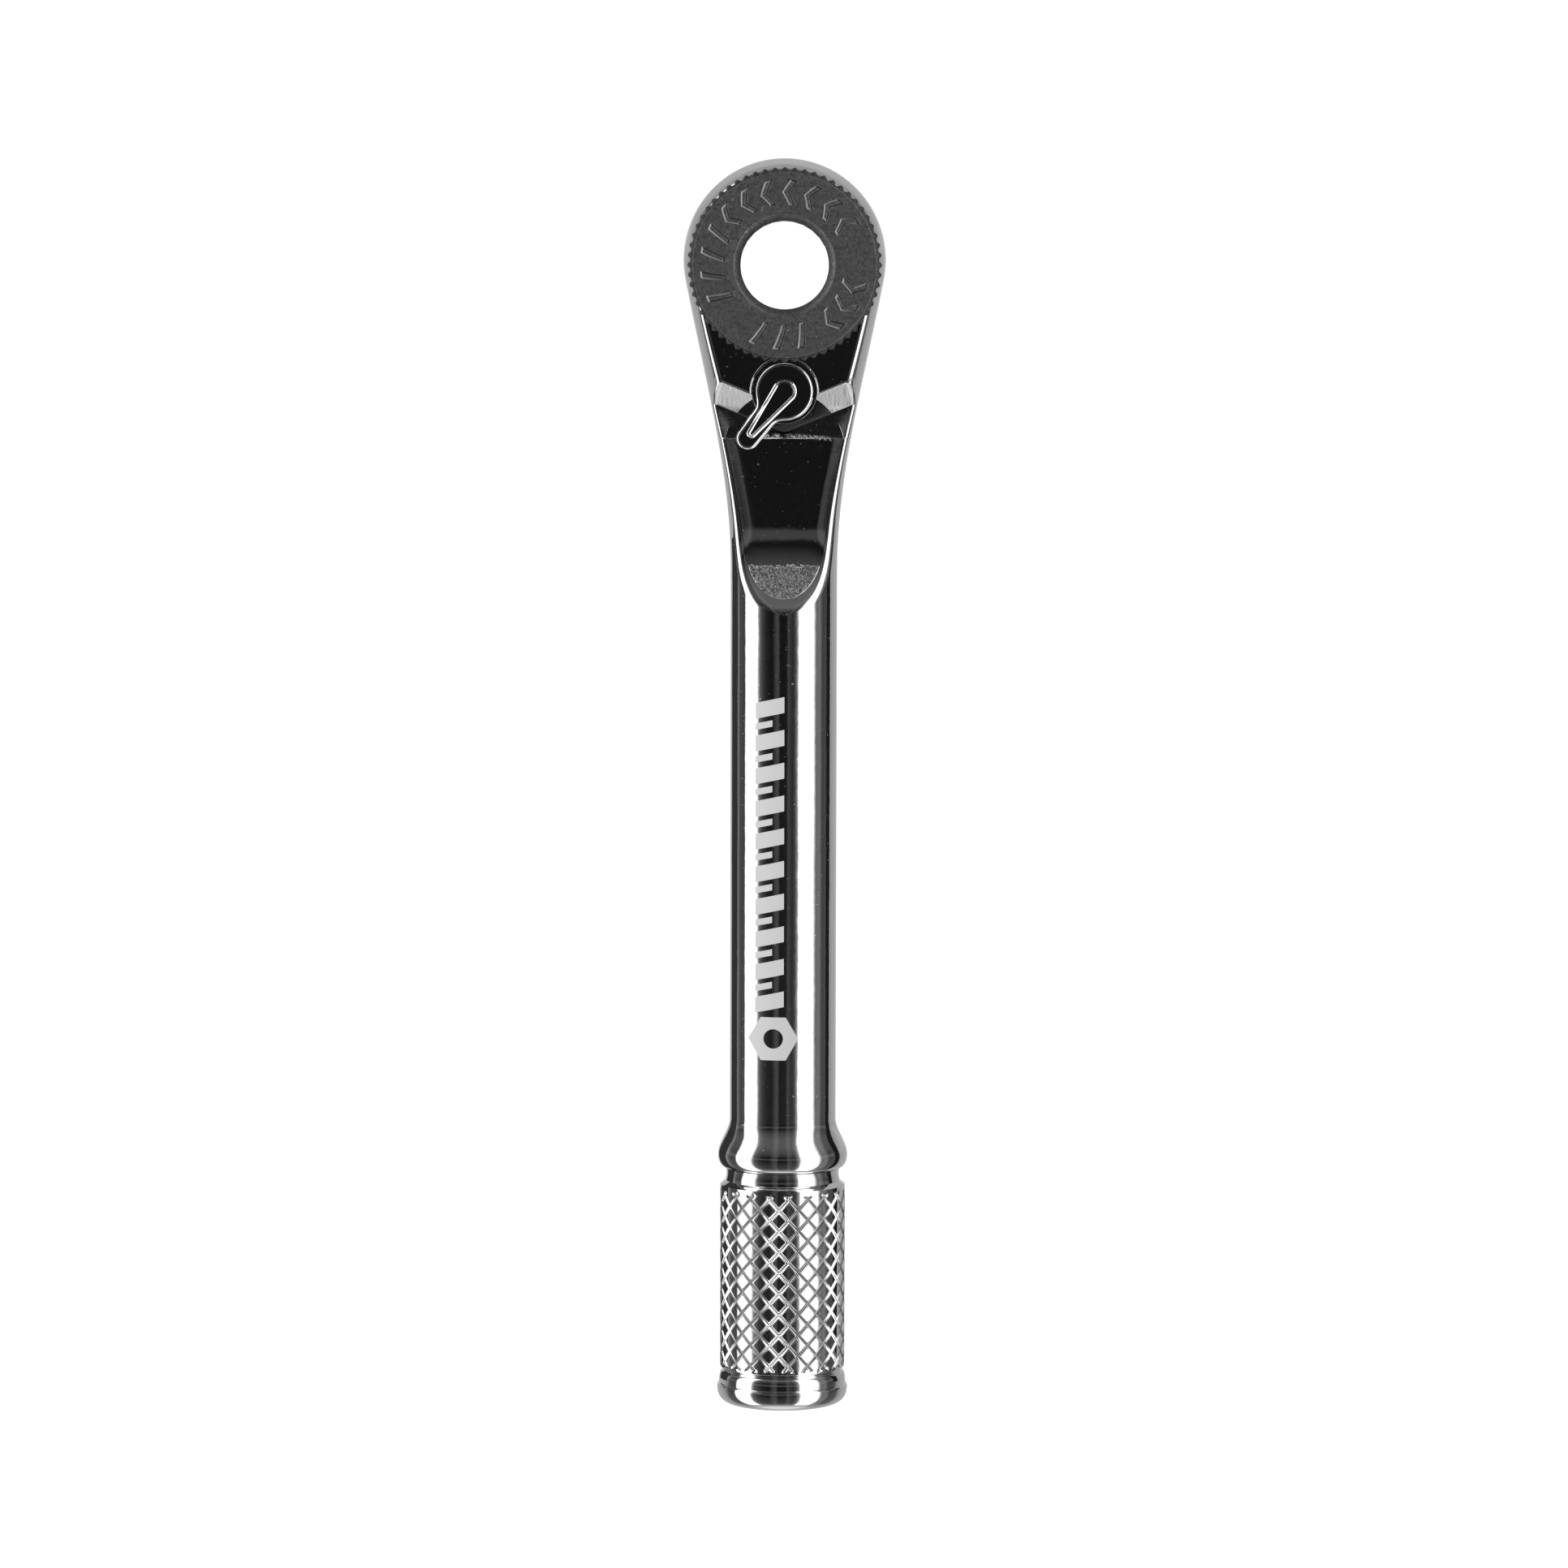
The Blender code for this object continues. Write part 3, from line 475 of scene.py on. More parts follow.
def body_stations():
    """Places round the outline from the tip to the end, as (Y, place, direction inwards).

    They stand closest where the top and back faces step and where the ramps run out.
    """
    stations = []
    head_steps = 110
    for k in range(head_steps + 1):
        turn = TANGENT_ANGLE * k / head_steps
        radial = Vector((sin(turn), cos(turn)))
        place = Vector((0, HEAD_Y)) + radial * HEAD_R
        stations.append((place.y, place, -radial))
    back_end = BACK_RAMP_Y - sqrt(2 * RAMP_R * (HANDLE_R + BACK_FLOOR) - (HANDLE_R + BACK_FLOOR) ** 2)
    ramp_end = RAMP_Y - sqrt(2 * RAMP_R * (HANDLE_R - NECK_FLOOR) - (HANDLE_R - NECK_FLOOR) ** 2)
    spans = [(STEP_TOP_Y + 0.12, 0.25), (STEP_TOP_Y - 0.12, 0.02), (STEP_FOOT_Y + 0.1, 0.15)]
    spans += [(STEP_FOOT_Y - 0.1, 0.02), (BACK_STEP_Y + 0.16, 0.2), (BACK_STEP_Y - 0.16, 0.04)]
    spans += [(MILLED_END_Y + 0.14, 0.1), (MILLED_END_Y - 0.02, 0.02), (BACK_FOOT_Y + 0.16, 0.1)]
    spans += [(BACK_FOOT_Y - 0.16, 0.04), (BACK_RAMP_Y, 0.2), (RAMP_Y, 0.2), (HANDLE_Y, 0.15)]
    spans += [(back_end, 0.1), (ramp_end + 1, 0.1), (ramp_end - 0.7, 0.04)]
    last = stations[-1][0]
    for end, gap in spans:
        for y in spaced(last, end, gap):
            width, rate = neck_width(y)
            stations.append((y, Vector((width, y)), Vector((-1, rate)).normalized()))
        last = end
    flare = [FLARE_Y + 0.05] + spaced(FLARE_Y, FLARE_TOP_Y, 0.07)
    flare += [FLARE_TOP_Y + (BODY_END_Y - FLARE_TOP_Y) * sin(pi / 2 * k / 20) for k in range(1, 21)]
    for y in flare:
        stations.append((y, Vector((flare_radius(y), y)), Vector((-1, 0))))
    return stations


def body_skin():
    loops = [body_loop(*station) for station in body_stations()]
    loops[0] = [(0, y, z) for x, y, z in loops[0]]
    bm = loops_mesh(loops, close_ends=False)
    bm.verts.ensure_lookup_table()
    bm.faces.new(reversed(bm.verts[-len(loops[-1]) :]))
    return bm


def drive_bore(low, high):
    """The stepped bore for the gear and its rings."""
    groove_low, groove_high, groove_r = SNAP_GROOVE
    seat_z, seat_r = SEAL_SEAT
    mouth_r = BORE_R + BORE_CHAMFER
    bore = [(0, low), (mouth_r + 1, low), (mouth_r, HEAD_BOTTOM), (BORE_R, HEAD_BOTTOM + BORE_CHAMFER)]
    bore += [(BORE_R, groove_low), (groove_r, groove_low), (groove_r, groove_high), (BORE_R, groove_high)]
    bore += [(BORE_R, SHOULDER_Z), (TOP_BORE_R, SHOULDER_Z), (TOP_BORE_R, seat_z), (seat_r, seat_z)]
    bore += [(seat_r, high), (0, high)]
    return lathe(bore, 160)


def lever_bore(low, high):
    """The stepped bore for the lever's stem, with its disc's pocket on top and the clip's seat behind."""
    clip_z, clip_r = CLIP_SEAT
    bore = [(0, low), (clip_r + 1, low), (clip_r, HEAD_BOTTOM + 0.1), (clip_r, clip_z)]
    bore += [(STEM_BORE_R, clip_z), (STEM_BORE_R, -SWEEP_HALF), (SWEEP_R, -SWEEP_HALF)]
    bore += [(SWEEP_R, SWEEP_HALF), (STEM_BORE_R, SWEEP_HALF), (STEM_BORE_R, POCKET_FLOOR)]
    bore += [(POCKET_R, POCKET_FLOOR), (POCKET_R, HEAD_TOP - POCKET_CHAMFER)]
    bore += [(POCKET_R + POCKET_CHAMFER + 1, high), (0, high)]
    return lathe(bore, 128, centre_y=PIVOT_Y)


def body_cutters():
    low, high = HEAD_BOTTOM - 1, HEAD_TOP + 1
    clearing = [point for point in circle(CLEARING_R, 240, (0, CLEARING_Y)) if point[1] > CLEARING_END_Y]
    pocket = list(PAWL_POCKET) + [(-x, y) for x, y in reversed(PAWL_POCKET)]
    past_end = BODY_END_Y - 1
    seat = [(0, END_SEAT_Y), (0, past_end), (END_SEAT_R, past_end), (END_SEAT_R, END_SEAT_Y)]
    return [
        drive_bore(low, high),
        prism(pocket, -PAWL_POCKET_HALF, PAWL_POCKET_HALF),
        lever_bore(low, high),
        prism(clearing, MILLED_FLOOR + 0.01, high),
        lathe(seat, 96, along_y=True),
    ]


def make_body(material):
    body = finish_mesh("forged_body", body_skin(), material)
    combine(body, body_cutters(), "DIFFERENCE")
    dress(body, "handle", "body")


# ---- thumb ring


def mark_height(radius, turn):
    """Height of the raised direction marks on the ring's face: chevrons and slanted bars, no lettering."""
    up = radius - MARK_R
    if abs(up) > MARK_HALF + 0.08:
        return 0.0
    clockwise = (90 - turn * 180 / pi) % 360
    for middle, count, step, kind in MARK_GROUPS:
        for index in range(count):
            centre = middle + (index - (count - 1) / 2) * step
            off = (clockwise - centre + 180) % 360 - 180
            along = radians(off) * MARK_R
            if abs(along) > MARK_REACH:
                continue
            if kind == "bar":
                away = abs(along - BAR_LEAN * up) - BAR_HALF
            else:
                lean = CHEVRON_LEAN * abs(up) - CHEVRON_SHIFT
                away = abs(along - (lean if kind == "chevron" else -lean)) - CHEVRON_HALF
            edge = max(away, abs(up) - MARK_HALF)
            return MARK_RISE * (1 - smooth(*MARK_SLOPE, edge))
    return 0.0


FACE_OUT = MARK_R + MARK_HALF + 0.12  # the marks' part of the face, from here in to FACE_IN
FACE_IN = MARK_R - MARK_HALF - 0.12


def ring_profile():
    """(radius, height, share of the teeth) from the seat out, up past the teeth and over to the hole."""
    top, bottom = RING_HIGH.z - MARK_RISE, RING_LOW.z
    flange, chamfer = RING_ROOT_R + RING_FLANGE, LIP_R + LIP_CHAMFER
    profile = [(RING_SEAT_R, LIP_BOTTOM, 0), (RING_SEAT_R, bottom, 0)]
    profile += [(flange - 0.15, bottom, 0), (flange, bottom + 0.06, 0), (flange, bottom + 0.2, 0)]
    teeth = [(bottom + 0.34, 1), (top - 0.5, 1), (top - 0.4, 0.95), (top - 0.28, 0.75), (top - 0.19, 0.35)]
    profile += [(RING_ROOT_R, height, share) for height, share in teeth + [(top - 0.16, 0)]]
    rim = [(0, top - 0.15), (0, top - 0.06), (0.02, top - 0.02), (0.06, top), (0.12, top)]
    profile += [(RING_FACE_R - inward, height, 0) for inward, height in rim]
    profile += [(FACE_OUT + (FACE_IN - FACE_OUT) * k / 34, top, 0) for k in range(35)]
    profile += [(chamfer + 0.08, top, 0), (chamfer + 0.03, top - 0.01, 0), (chamfer - 0.03, top - 0.05, 0)]
    profile += [(LIP_R + 0.03, top - LIP_CHAMFER - 0.03, 0), (LIP_R, top - LIP_CHAMFER - 0.1, 0)]
    return profile + [(LIP_R, LIP_BOTTOM, 0)]


def make_ring(material):
    steps = SERRATIONS * 14
    reach = RING_HIGH.x - RING_ROOT_R
    loops = []
    for radius, height, toothed in ring_profile():
        loop = []
        for k in range(steps):
            turn = 2 * pi * k / steps
            wave = (0.5 + 0.5 * cos(SERRATIONS * turn)) ** 0.6
            out = radius + toothed * reach * wave
            rise = mark_height(radius, turn) if FACE_IN <= radius <= FACE_OUT else 0
            loop.append((out * cos(turn), out * sin(turn), height + rise))
        loops.append(loop)
    loops.append(loops[0])
    ring = finish_mesh("serrated_ring", loops_mesh(loops, close_ends=False), material, sharp=50)
    dress(ring, "drive", "thumb_ring")


# ---- lever


def capsule_gap(point, a, b, ra, rb):
    """Distance from a point to a tapered bar between two round ends."""
    span = b - a
    t = min(1, max(0, (point - a).dot(span) / span.length_squared))
    return (point - a - span * t).length - (ra + (rb - ra) * t)


def star_outline(distance):
    """The outline where a plan distance field is zero, seen from the lever's pivot."""
    outline = []
    for k in range(LEVER_STEPS):
        turn = 2 * pi * k / LEVER_STEPS
        heading = Vector((cos(turn), sin(turn)))
        low, high = 0.0, 6.0
        for _ in range(26):
            middle = (low + high) / 2
            if distance(heading * middle) > 0:
                high = middle
            else:
                low = middle
        outline.append(heading * low)
    return even(outline, LEVER_STEPS)


def even(outline, count):
    """The same closed outline with evenly spaced points."""
    closed = outline + [outline[0]]
    lengths = [0.0]
    for a, b in zip(closed, closed[1:]):
        lengths.append(lengths[-1] + (b - a).length)
    result, j = [], 0
    for k in range(count):
        want = lengths[-1] * k / count
        while lengths[j + 1] < want:
            j += 1
        share = (want - lengths[j]) / max(1e-9, lengths[j + 1] - lengths[j])
        result.append(closed[j].lerp(closed[j + 1], share))
    return result


def inset(outline, amount):
    """The outline moved in by an amount, point by point."""
    count = len(outline)
    moved = []
    for k in range(count):
        along = outline[(k + 1) % count] - outline[k - 1]
        moved.append(outline[k] + Vector((-along.y, along.x)).normalized() * amount)
    return moved


def stacked(outline, levels):
    """A solid whose outline steps in at each level, as (inset, height) pairs from the bottom up."""
    loops = []
    for amount, height in levels:
        loops.append([(p.x, p.y + PIVOT_Y, height) for p in inset(outline, amount)])
    return loops_mesh(loops)


def rounded_levels(bottom, top, edge, steps=5):
    """Levels with a small chamfer below, a rounding on top and a narrow flat rim inside it."""
    levels = [(0.10, bottom), (0.0, bottom + 0.10)]
    for k in range(steps + 1):
        turn = pi / 2 * k / steps
        levels.append((edge * (1 - cos(turn)), top - edge + edge * sin(turn)))
    levels.append((edge + 0.04, top))
    return levels


def lever_stem():
    clip_low, clip_high, clip_deep = CLIP_GROOVE
    bottom, top = LEVER_LOW.z, LEVER_BOTTOM + 0.4
    stem = [(0, bottom), (STEM_R - STEM_CHAMFER, bottom), (STEM_R, bottom + STEM_CHAMFER), (STEM_R, clip_low)]
    stem += [(STEM_R - clip_deep, clip_low), (STEM_R - clip_deep, clip_high), (STEM_R, clip_high)]
    stem += [(STEM_R, top), (0, top)]
    return lathe(stem, centre_y=PIVOT_Y)


def lever_cutters(away):
    """The plunger's bore, which points away from the arm, and the groove for the seal."""
    radius, start, end = PLUNGER_BORE
    bore = lathe([(0, start), (radius, start), (radius, end), (0, end)], 40)
    heading = Vector((-away.x, -away.y, 0))
    turn = Vector((0, 0, 1)).rotation_difference(heading).to_matrix().to_4x4()
    bmesh.ops.transform(bore, matrix=Matrix.Translation((0, PIVOT_Y, 0)) @ turn, verts=bore.verts)
    low, high, deep = SEAL_GROOVE
    inner, outer = STEM_R - deep, STEM_R + 0.4
    return [bore, lathe([(inner, low), (outer, low), (outer, high), (inner, high)], centre_y=PIVOT_Y)]


def make_lever(material):
    away = Vector((-sin(ARM_ANGLE), -cos(ARM_ANGLE)))
    centre = Vector((0, 0))

    def plate(point):
        arm = capsule_gap(point, centre, away * ARM_LENGTH, ARM_ROOT_R, ARM_R)
        return soft_min(point.length - LEVER_DISC_R, arm, ARM_BLEND)

    def rib(point):
        return capsule_gap(point, centre, away * RIB_LENGTH, RIB_R, RIB_TIP_R)

    plate_solid = stacked(star_outline(plate), rounded_levels(LEVER_BOTTOM, LEVER_TOP, LEVER_EDGE))
    rib_top = LEVER_HIGH.z
    rib_levels = [(0.0, LEVER_TOP - 0.3), (0.0, LEVER_TOP + 0.04), (0.02, LEVER_TOP + 0.10)]
    rib_levels += [(0.24, rib_top - 0.03), (0.28, rib_top), (0.31, rib_top)]
    lever = finish_mesh("direction_lever", plate_solid, material)
    combine(lever, [stacked(star_outline(rib), rib_levels), lever_stem()], "UNION")
    combine(lever, lever_cutters(away), "DIFFERENCE")
    dress(lever, "lever", "reverse_lever")


# ---- knurled end


def end_profile(y):
    """Outer radius of the knurled end without its knurling."""
    if y > NECK_END_Y:
        share = max(0, (BODY_END_Y - y) / (BODY_END_Y - NECK_END_Y))
        return NECK_R - NECK_HOLLOW * sin(pi * share)
    if y > COLLAR_Y:
        return NECK_R + (COLLAR_R - NECK_R) * (NECK_END_Y - y) / (NECK_END_Y - COLLAR_Y)
    if y > KNURL_END_Y:
        return KNURL_R
    if y > WAIST_Y:
        return KNURL_R + (WAIST_R - KNURL_R) * smooth(KNURL_END_Y, WAIST_Y + 0.06, y)
    crease = CREASE_DEPTH * max(0, 1 - abs(y - CREASE_Y) / CREASE_HALF)
    if y > CREASE_Y:
        t = (y - CREASE_Y) / (WAIST_Y - CREASE_Y)
        return WAIST_R + (CREASE_R - WAIST_R) * sqrt(max(0, 1 - t**WAIST_ROUND)) - crease
    if y > BEAD_Y:
        return BAND_R + (BEAD_R - BAND_R) * smooth(CREASE_Y, BEAD_Y, y) - crease
    t = (BEAD_Y - y) / (BEAD_Y - END_Y)
    return END_R + (BEAD_R - END_R) * sqrt(max(0, 1 - t**BEAD_ROUND))


def groove_offsets(turn, y):
    """Distances to the nearest groove of each of the two crossing families."""
    around, along = turn * KNURL_STARTS / (2 * pi), (y - KNURL_CROSSING_Y) / KNURL_PITCH
    width = 1 / sqrt((KNURL_STARTS / (2 * pi * KNURL_R)) ** 2 + 1 / KNURL_PITCH**2)
    found = []
    for family in (around + along, around - along):
        found.append(abs(family - floor(family + 0.5)) * width)
    return found


def knurl_radius(turn, y):
    near = min(groove_offsets(turn, y))
    fade = smooth(KNURL_START_Y, KNURL_START_Y - KNURL_FADE, y)
    fade *= smooth(KNURL_END_Y, KNURL_END_Y + KNURL_FADE, y)
    depth = KNURL_DEPTH * fade * max(0, 1 - near / KNURL_GROOVE_HALF)
    return min(end_profile(y), KNURL_R - depth)


def end_rows(steps):
    """Rings of radii from the shank to the end face, as (Y, radii, whether the row is knurled)."""
    gap = KNURL_PITCH / KNURL_CELLS
    places = [KNURL_CROSSING_Y - gap * k for k in range(int((KNURL_CROSSING_Y - KNURL_END_Y) / gap) + 1)]
    places = [y for y in places if y < KNURL_START_Y + gap]
    first = BODY_END_Y - 0.06
    before = [first] + spaced(first, NECK_END_Y, 0.06) + [COLLAR_Y, COLLAR_Y - 0.03]
    after = spaced(places[-1], WAIST_Y, 0.05)
    after += [CREASE_Y + (WAIST_Y - CREASE_Y) * cos(pi / 2 * k / 16) for k in range(1, 14)]
    after += [CREASE_Y + CREASE_HALF, CREASE_Y, CREASE_Y - CREASE_HALF, BEAD_Y]
    after += [BEAD_Y + (END_Y - BEAD_Y) * sin(pi / 2 * k / 22) for k in range(1, 23)]
    shank = [(END_HIGH.y, AXIS_GAP), (END_HIGH.y, SHANK_R - 0.3)]
    shank += [(END_HIGH.y - 0.3, SHANK_R), (first, SHANK_R)]
    rows = [(y, [radius] * steps, False) for y, radius in shank]
    rows += [(y, [end_profile(y)] * steps, False) for y in before]
    for y in places:
        rows.append((y, [knurl_radius(2 * pi * k / steps, y) for k in range(steps)], True))
    rows += [(y, [end_profile(y)] * steps, False) for y in after]
    return rows + [(END_Y, [AXIS_GAP] * steps, False)]


def end_skin():
    """The end's outer skin. Knurled cells are split along the diagonal that follows the nearer groove."""
    steps = KNURL_STARTS * KNURL_CELLS
    rows = end_rows(steps)
    turns = [2 * pi * k / steps + KNURL_TURN for k in range(steps)]
    bm = bmesh.new()
    grid = []
    for y, radii, _ in rows:
        grid.append([bm.verts.new((r * cos(t), y, r * sin(t))) for r, t in zip(radii, turns)])
    for i in range(len(rows) - 1):
        middle_y = (rows[i][0] + rows[i + 1][0]) / 2
        knurled = rows[i][2] and rows[i + 1][2]
        for k in range(steps):
            j = (k + 1) % steps
            a, b, c, d = grid[i][k], grid[i][j], grid[i + 1][j], grid[i + 1][k]
            if not knurled:
                bm.faces.new((a, b, c, d))
                continue
            first, second = groove_offsets(2 * pi * (k + 0.5) / steps, middle_y)
            for corners in ((a, b, c), (a, c, d)) if first > second else ((a, b, d), (b, c, d)):
                bm.faces.new(corners)
    bm.faces.new(grid[0])
    bm.faces.new(reversed(grid[-1]))
    return bm


def end_cutters():
    """The hex socket with its chamfered mouth, the groove for the bit ring and the magnet's seat."""
    corner = HEX_FLATS / 2 / cos(pi / 6)
    hexagon = [(corner * cos(pi / 3 * k), corner * sin(pi / 3 * k)) for k in range(6)]
    top, past_top = SOCKET_END_Y + MAGNET_LONG, SOCKET_END_Y - 0.5
    seat = [(MAGNET_SEAT_R, top), (MAGNET_SEAT_R, past_top), (0, past_top), (0, top)]
    inside, outside = END_Y + MOUTH_CHAMFER, END_Y - 0.2
    mouth = [(MOUTH_R, inside), (MOUTH_R + 0.7, outside), (0, outside), (0, inside)]
    return [
        prism(hexagon, SOCKET_END_Y, END_Y - 1, along_y=True),
        prism(circle(BIT_GROOVE_R), *BIT_GROOVE, along_y=True),
        lathe(seat, 64, along_y=True),
        lathe(mouth, 96, along_y=True),
    ]


def make_knurled_end(material):
    end = finish_mesh("knurled_end", end_skin(), material, sharp=24)
    combine(end, end_cutters(), "DIFFERENCE", sharp=24)
    dress(end, "handle", "end_socket")


# ---- finishes


class Nodes:
    """Short calls for building one material's or world's node tree."""

    def __init__(self, tree):
        self.tree = tree

    def add(self, kind, **settings):
        node = self.tree.nodes.new(kind)
        for name, value in settings.items():
            setattr(node, name, value)
        return node

    def link(self, source, target):
        self.tree.links.new(source, target)

    def put(self, value, socket):
        if hasattr(value, "is_output"):
            self.link(value, socket)
        else:
            socket.default_value = value

    def math(self, operation, a, b=0.0, c=0.0, clamp=False):
        node = self.add("ShaderNodeMath", operation=operation, use_clamp=clamp)
        for value, socket in zip((a, b, c), node.inputs):
            self.put(value, socket)
        return node.outputs[0]

    def mix(self, share, a, b):
        node = self.add("ShaderNodeMix", data_type="RGBA")
        self.put(share, node.inputs[0])
        self.put(a, node.inputs[6])
        self.put(b, node.inputs[7])
        return node.outputs[2]

    def split(self, vector):
        node = self.add("ShaderNodeSeparateXYZ")
        self.link(vector, node.inputs[0])
        return node.outputs[0], node.outputs[1], node.outputs[2]

    def step(self, value, low, high, to_low=0.0, to_high=1.0):
        """A soft step from one value to another. Low may be above high."""
        node = self.add("ShaderNodeMapRange", interpolation_type="SMOOTHSTEP")
        self.put(value, node.inputs[0])
        for amount, socket in zip((low, high, to_low, to_high), node.inputs[1:5]):
            self.put(amount, socket)
        return node.outputs[0]

    def within(self, value, low, high, soft=0.02):
        """1 where low < value < high, with soft ends."""
        up = self.step(value, low - soft, low + soft)
        return self.math("SUBTRACT", up, self.step(value, high - soft, high + soft))

    def overlap(self, *masks):
        """All the masks multiplied together."""
        result = masks[0]
        for mask in masks[1:]:
            result = self.math("MULTIPLY", result, mask)
        return result

    def noise(self, vector, scale, detail=3.0, roughness=0.5):
        node = self.add("ShaderNodeTexNoise")
        self.link(vector, node.inputs["Vector"])
        node.inputs["Scale"].default_value = scale
        node.inputs["Detail"].default_value = detail
        node.inputs["Roughness"].default_value = roughness
        return node.outputs[0]

    def bump(self, height, strength, distance, normal=None):
        node = self.add("ShaderNodeBump")
        node.inputs["Strength"].default_value = strength
        node.inputs["Distance"].default_value = distance
        self.link(height, node.inputs["Height"])
        if normal:
            self.link(normal, node.inputs["Normal"])
        return node.outputs[0]

    def bevel(self, radius):
        node = self.add("ShaderNodeBevel", samples=4)
        node.inputs["Radius"].default_value = radius
        return node.outputs[0]


def new_material(name):
    made = bpy.data.materials.new(name)
    made.use_nodes = True
    nodes = Nodes(made.node_tree)
    shader = made.node_tree.nodes["Principled BSDF"]
    coordinates = nodes.add("ShaderNodeTexCoord").outputs["Object"]
    shift = nodes.add("ShaderNodeVectorMath", operation="SUBTRACT")
    nodes.link(coordinates, shift.inputs[0])
    shift.inputs[1].default_value = ORIGIN * MM
    return made, nodes, shader, shift.outputs[0]


def grey(value):
    return (value, value, value, 1)


def metal(name, tone, roughness, grain=0.10, grain_size=0.4, bevel=0.0):
    """Bare or plated metal: soft polishing marks in the roughness, and a very fine orange-peel surface."""
    made, nodes, shader, place = new_material(name)
    shader.inputs["Metallic"].default_value = 1
    cloud = nodes.noise(place, 1 / (6 * MM), 4)
    marks = nodes.noise(place, 1 / (grain_size * MM), 5, 0.65)
    nodes.link(nodes.mix(cloud, grey(tone * 0.94), grey(tone * 1.04)), shader.inputs["Base Color"])
    spread = nodes.step(marks, 0.35, 0.75, roughness * (1 - grain * 4), roughness * (1 + grain * 6))
    nodes.link(spread, shader.inputs["Roughness"])
    rounded = nodes.bevel(bevel * MM) if bevel else None
    nodes.link(nodes.bump(marks, 1.0, 0.003 * MM, rounded), shader.inputs["Normal"])
    return made


# Places on the body's surface, in mm: down is the distance from the drive axis towards the knurled end.
BAND_START, BAND_LENGTH, BAND_REPEAT = 30.7, 22.3, 2.35
BAND_LEAN = 0.22
LONG_BAR, LONG_BAR_X = (0.02, 1.15), (-2.0, 0.05)
SHORT_BAR, SHORT_BAR_X = (1.5, 1.95), (-2.0, -0.8)
NUT_X, NUT_DOWN, NUT_HALF = -0.7, 55.3, 1.55
FROST_START, FROST_FADE = 20.85, 20.95
FROST_EDGE = (0.10, 0.16)  # how far in from the handle's round side the frost begins
STRIP_Z, STRIP_DOWN = (1.66, 1.79), (9.4, 12.4)
RIDGE_DOWN, RIDGE_BOW = 12.15, 0.02
FACET_Z, FACET_DOWN = (1.8, 3.25), (8.0, 11.4)


def etched_band(nodes, x, down):
    """Generic etching: slanted bars, by turns long and short, then a hexagon with a round hole."""
    along = nodes.math("SUBTRACT", nodes.math("MULTIPLY_ADD", x, BAND_LEAN, down), BAND_START)
    share = nodes.math("MODULO", along, BAND_REPEAT)
    long_bars = nodes.overlap(nodes.within(share, *LONG_BAR), nodes.within(x, *LONG_BAR_X))
    short_bars = nodes.overlap(nodes.within(share, *SHORT_BAR), nodes.within(x, *SHORT_BAR_X))
    bars = nodes.overlap(nodes.math("ADD", long_bars, short_bars), nodes.within(along, 0.0, BAND_LENGTH))
    across = nodes.math("ABSOLUTE", nodes.math("SUBTRACT", x, NUT_X))
    tall = nodes.math("ABSOLUTE", nodes.math("SUBTRACT", down, NUT_DOWN))
    slope = nodes.math("MULTIPLY_ADD", across, sin(pi / 3), nodes.math("MULTIPLY", tall, 0.5))
    hexagon = nodes.within(nodes.math("MAXIMUM", slope, tall), -1, NUT_HALF)
    square = nodes.math("ADD", nodes.math("POWER", across, 2.0), nodes.math("POWER", tall, 2.0))
    outside = nodes.step(square, 0.46, 0.54)
    return nodes.math("ADD", bars, nodes.overlap(hexagon, outside), clamp=True)


def frosted_patch(nodes, side, down, z, marks):
    """Where the ramp is frosted: inside the handle's outline, from a ragged line on."""
    chord = nodes.math("SUBTRACT", HANDLE_R**2, nodes.math("POWER", nodes.math("ADD", z, 0.5), 2.0))
    inside = nodes.math("SUBTRACT", nodes.math("SQRT", nodes.math("MAXIMUM", chord, 0.0)), side)
    ragged = nodes.math("SUBTRACT", down, nodes.math("MULTIPLY", marks, 1.1))
    begun = nodes.step(ragged, FROST_START, FROST_FADE)
    return nodes.overlap(nodes.step(inside, *FROST_EDGE), begun, nodes.step(z, 1.9, 2.1))


def ridge_line(nodes, side, down, z, marks):
    """A faint, broken, bowed line where the cutter left the milled strip."""
    curved = nodes.math("MULTIPLY_ADD", nodes.math("POWER", side, 2.0), RIDGE_BOW, RIDGE_DOWN)
    off_line = nodes.math("ABSOLUTE", nodes.math("SUBTRACT", down, curved))
    on_floor = nodes.overlap(nodes.step(side, 3.6, 3.4), nodes.within(z, 1.6, 1.9))
    return nodes.overlap(nodes.step(off_line, 0.22, 0.08), on_floor, nodes.step(marks, 0.46, 0.60, 0.0, 0.5))


